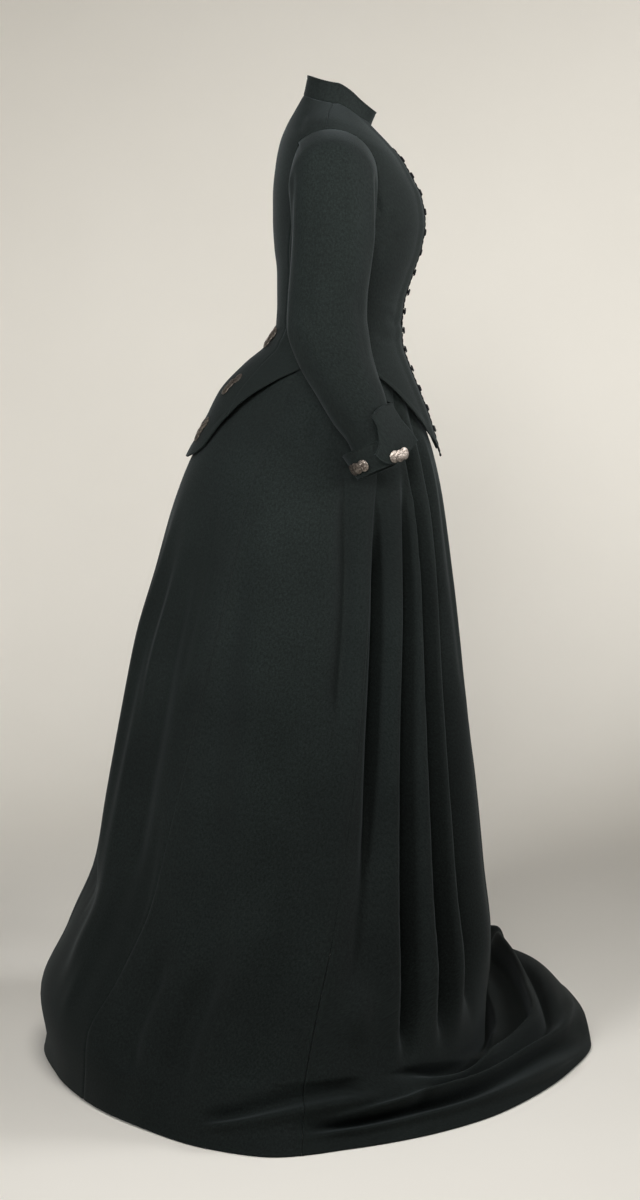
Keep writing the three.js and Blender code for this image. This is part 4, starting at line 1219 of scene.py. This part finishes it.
# Camera, floor and light
cameraLook = {
    "place": (-4.5, 0.0303, 0.30),
    "down": 8.97,
    "focalPixels": 2962,
    "imageHeight": 1200,
    "sensor": 24,
}
camera = bpy.data.objects.new("camera", bpy.data.cameras.new("camera"))
scene.collection.objects.link(camera)
camera.location = cameraLook["place"]
camera.rotation_euler = (math.radians(90 - cameraLook["down"]), 0, math.radians(-90))
camera.data.sensor_fit = "VERTICAL"
camera.data.sensor_height = cameraLook["sensor"]
camera.data.lens = cameraLook["sensor"] * cameraLook["focalPixels"] / cameraLook["imageHeight"]
camera.data.clip_end = 60
scene.camera = camera

paper, paperShader, addNode, linkNodes = nodeMaterial("palePaper")
grainPlace = addNode("ShaderNodeTexCoord")
grain = addNode("ShaderNodeTexNoise", Scale=1.4, Detail=3)
linkNodes(grainPlace.outputs["Object"], grain.inputs["Vector"])
grainTone = addNode("ShaderNodeValToRGB")
ramp(grainTone, [(0.3, (0.86, 0.825, 0.76)), (0.7, (0.89, 0.855, 0.79))])
linkNodes(grain.outputs["Fac"], grainTone.inputs["Fac"])
linkNodes(grainTone.outputs["Color"], paperShader.inputs["Base Color"])
paperShader.inputs["Roughness"].default_value = 0.95
paperShader.inputs["Specular IOR Level"].default_value = 0.1

sweep = {"near": -9.0, "far": 3.2, "radius": 1.6, "height": 5.0, "wide": 8.0, "floor": floorZ / 1000 - 0.0005}


def sweepPoint(s):
    flat = sweep["far"] - sweep["radius"] - sweep["near"]
    arc = sweep["radius"] * math.pi / 2
    if s < flat:
        return sweep["near"] + s, sweep["floor"]
    if s < flat + arc:
        angle = (s - flat) / sweep["radius"]
        return (sweep["far"] - sweep["radius"] + sweep["radius"] * math.sin(angle),
                sweep["floor"] + sweep["radius"] * (1 - math.cos(angle)))
    return sweep["far"], sweep["floor"] + sweep["radius"] + s - flat - arc


bm = bmesh.new()
bmesh.ops.create_grid(bm, x_segments=80, y_segments=2, size=1)  # from -1 to 1 both ways
total = sweep["far"] - sweep["near"] + sweep["height"]
for vert in bm.verts:
    x, z = sweepPoint((vert.co.x + 1) / 2 * total)
    vert.co = (x, vert.co.y * sweep["wide"], z)
for face in bm.faces:
    face.smooth = True
mesh = bpy.data.meshes.new("floor")
bm.to_mesh(mesh)
bm.free()
floor = bpy.data.objects.new("floor", mesh)
scene.collection.objects.link(floor)
mesh.materials.append(paper)

coolWhite, warmWhite, wallWhite = (0.98, 0.99, 1), (1, 0.99, 0.97), (1, 0.985, 0.95)
lamps = table(
    "name place aim size spread power colour",
    ("leftFront", (-3.0, 2.0, 0.9), (0, 0.05, 0.1), 0.9, 60, 14, coolWhite),
    ("rightBack", (0.2, -3.0, 0.9), (0, 0, 0), 1.2, 90, 15, coolWhite),
    ("rightChest", (-1.3, -1.9, 0.8), (0, -0.1, 0.2), 0.7, 40, 3.2, warmWhite),
    ("frontBeam", (-3.4, 0.2, 1.1), (0, 0, 0.3), 0.9, 34, 5, warmWhite),
    ("floorFront", (-2.0, 0, 3.0), (-1.6, 0, -1.1), 1.6, 70, 21, warmWhite),
    ("wallRight", (1.3, -1.9, 0.6), (3.2, -1.5, 0.1), 1.4, 150, 13, wallWhite),
    ("wallLeft", (1.3, 1.9, 0.2), (3.2, 1.4, -0.4), 1.4, 150, 12, wallWhite),
)
for look in lamps:
    light = bpy.data.lights.new(look["name"], "AREA")
    light.energy = look["power"]
    light.size = look["size"]
    light.spread = math.radians(look["spread"])
    light.color = look["colour"]
    lamp = bpy.data.objects.new(look["name"], light)
    scene.collection.objects.link(lamp)
    lamp.location = look["place"]
    shine = Vector(look["aim"]) - Vector(look["place"])
    lamp.rotation_euler = shine.to_track_quat("-Z", "Y").to_euler()
    lamp.visible_camera = False

world = bpy.data.worlds.new("studio")
scene.world = world
world.use_nodes = True
world.node_tree.nodes["Background"].inputs["Color"].default_value = (1, 0.985, 0.955, 1)
world.node_tree.nodes["Background"].inputs["Strength"].default_value = 0.05
scene.view_settings.view_transform = "Standard"
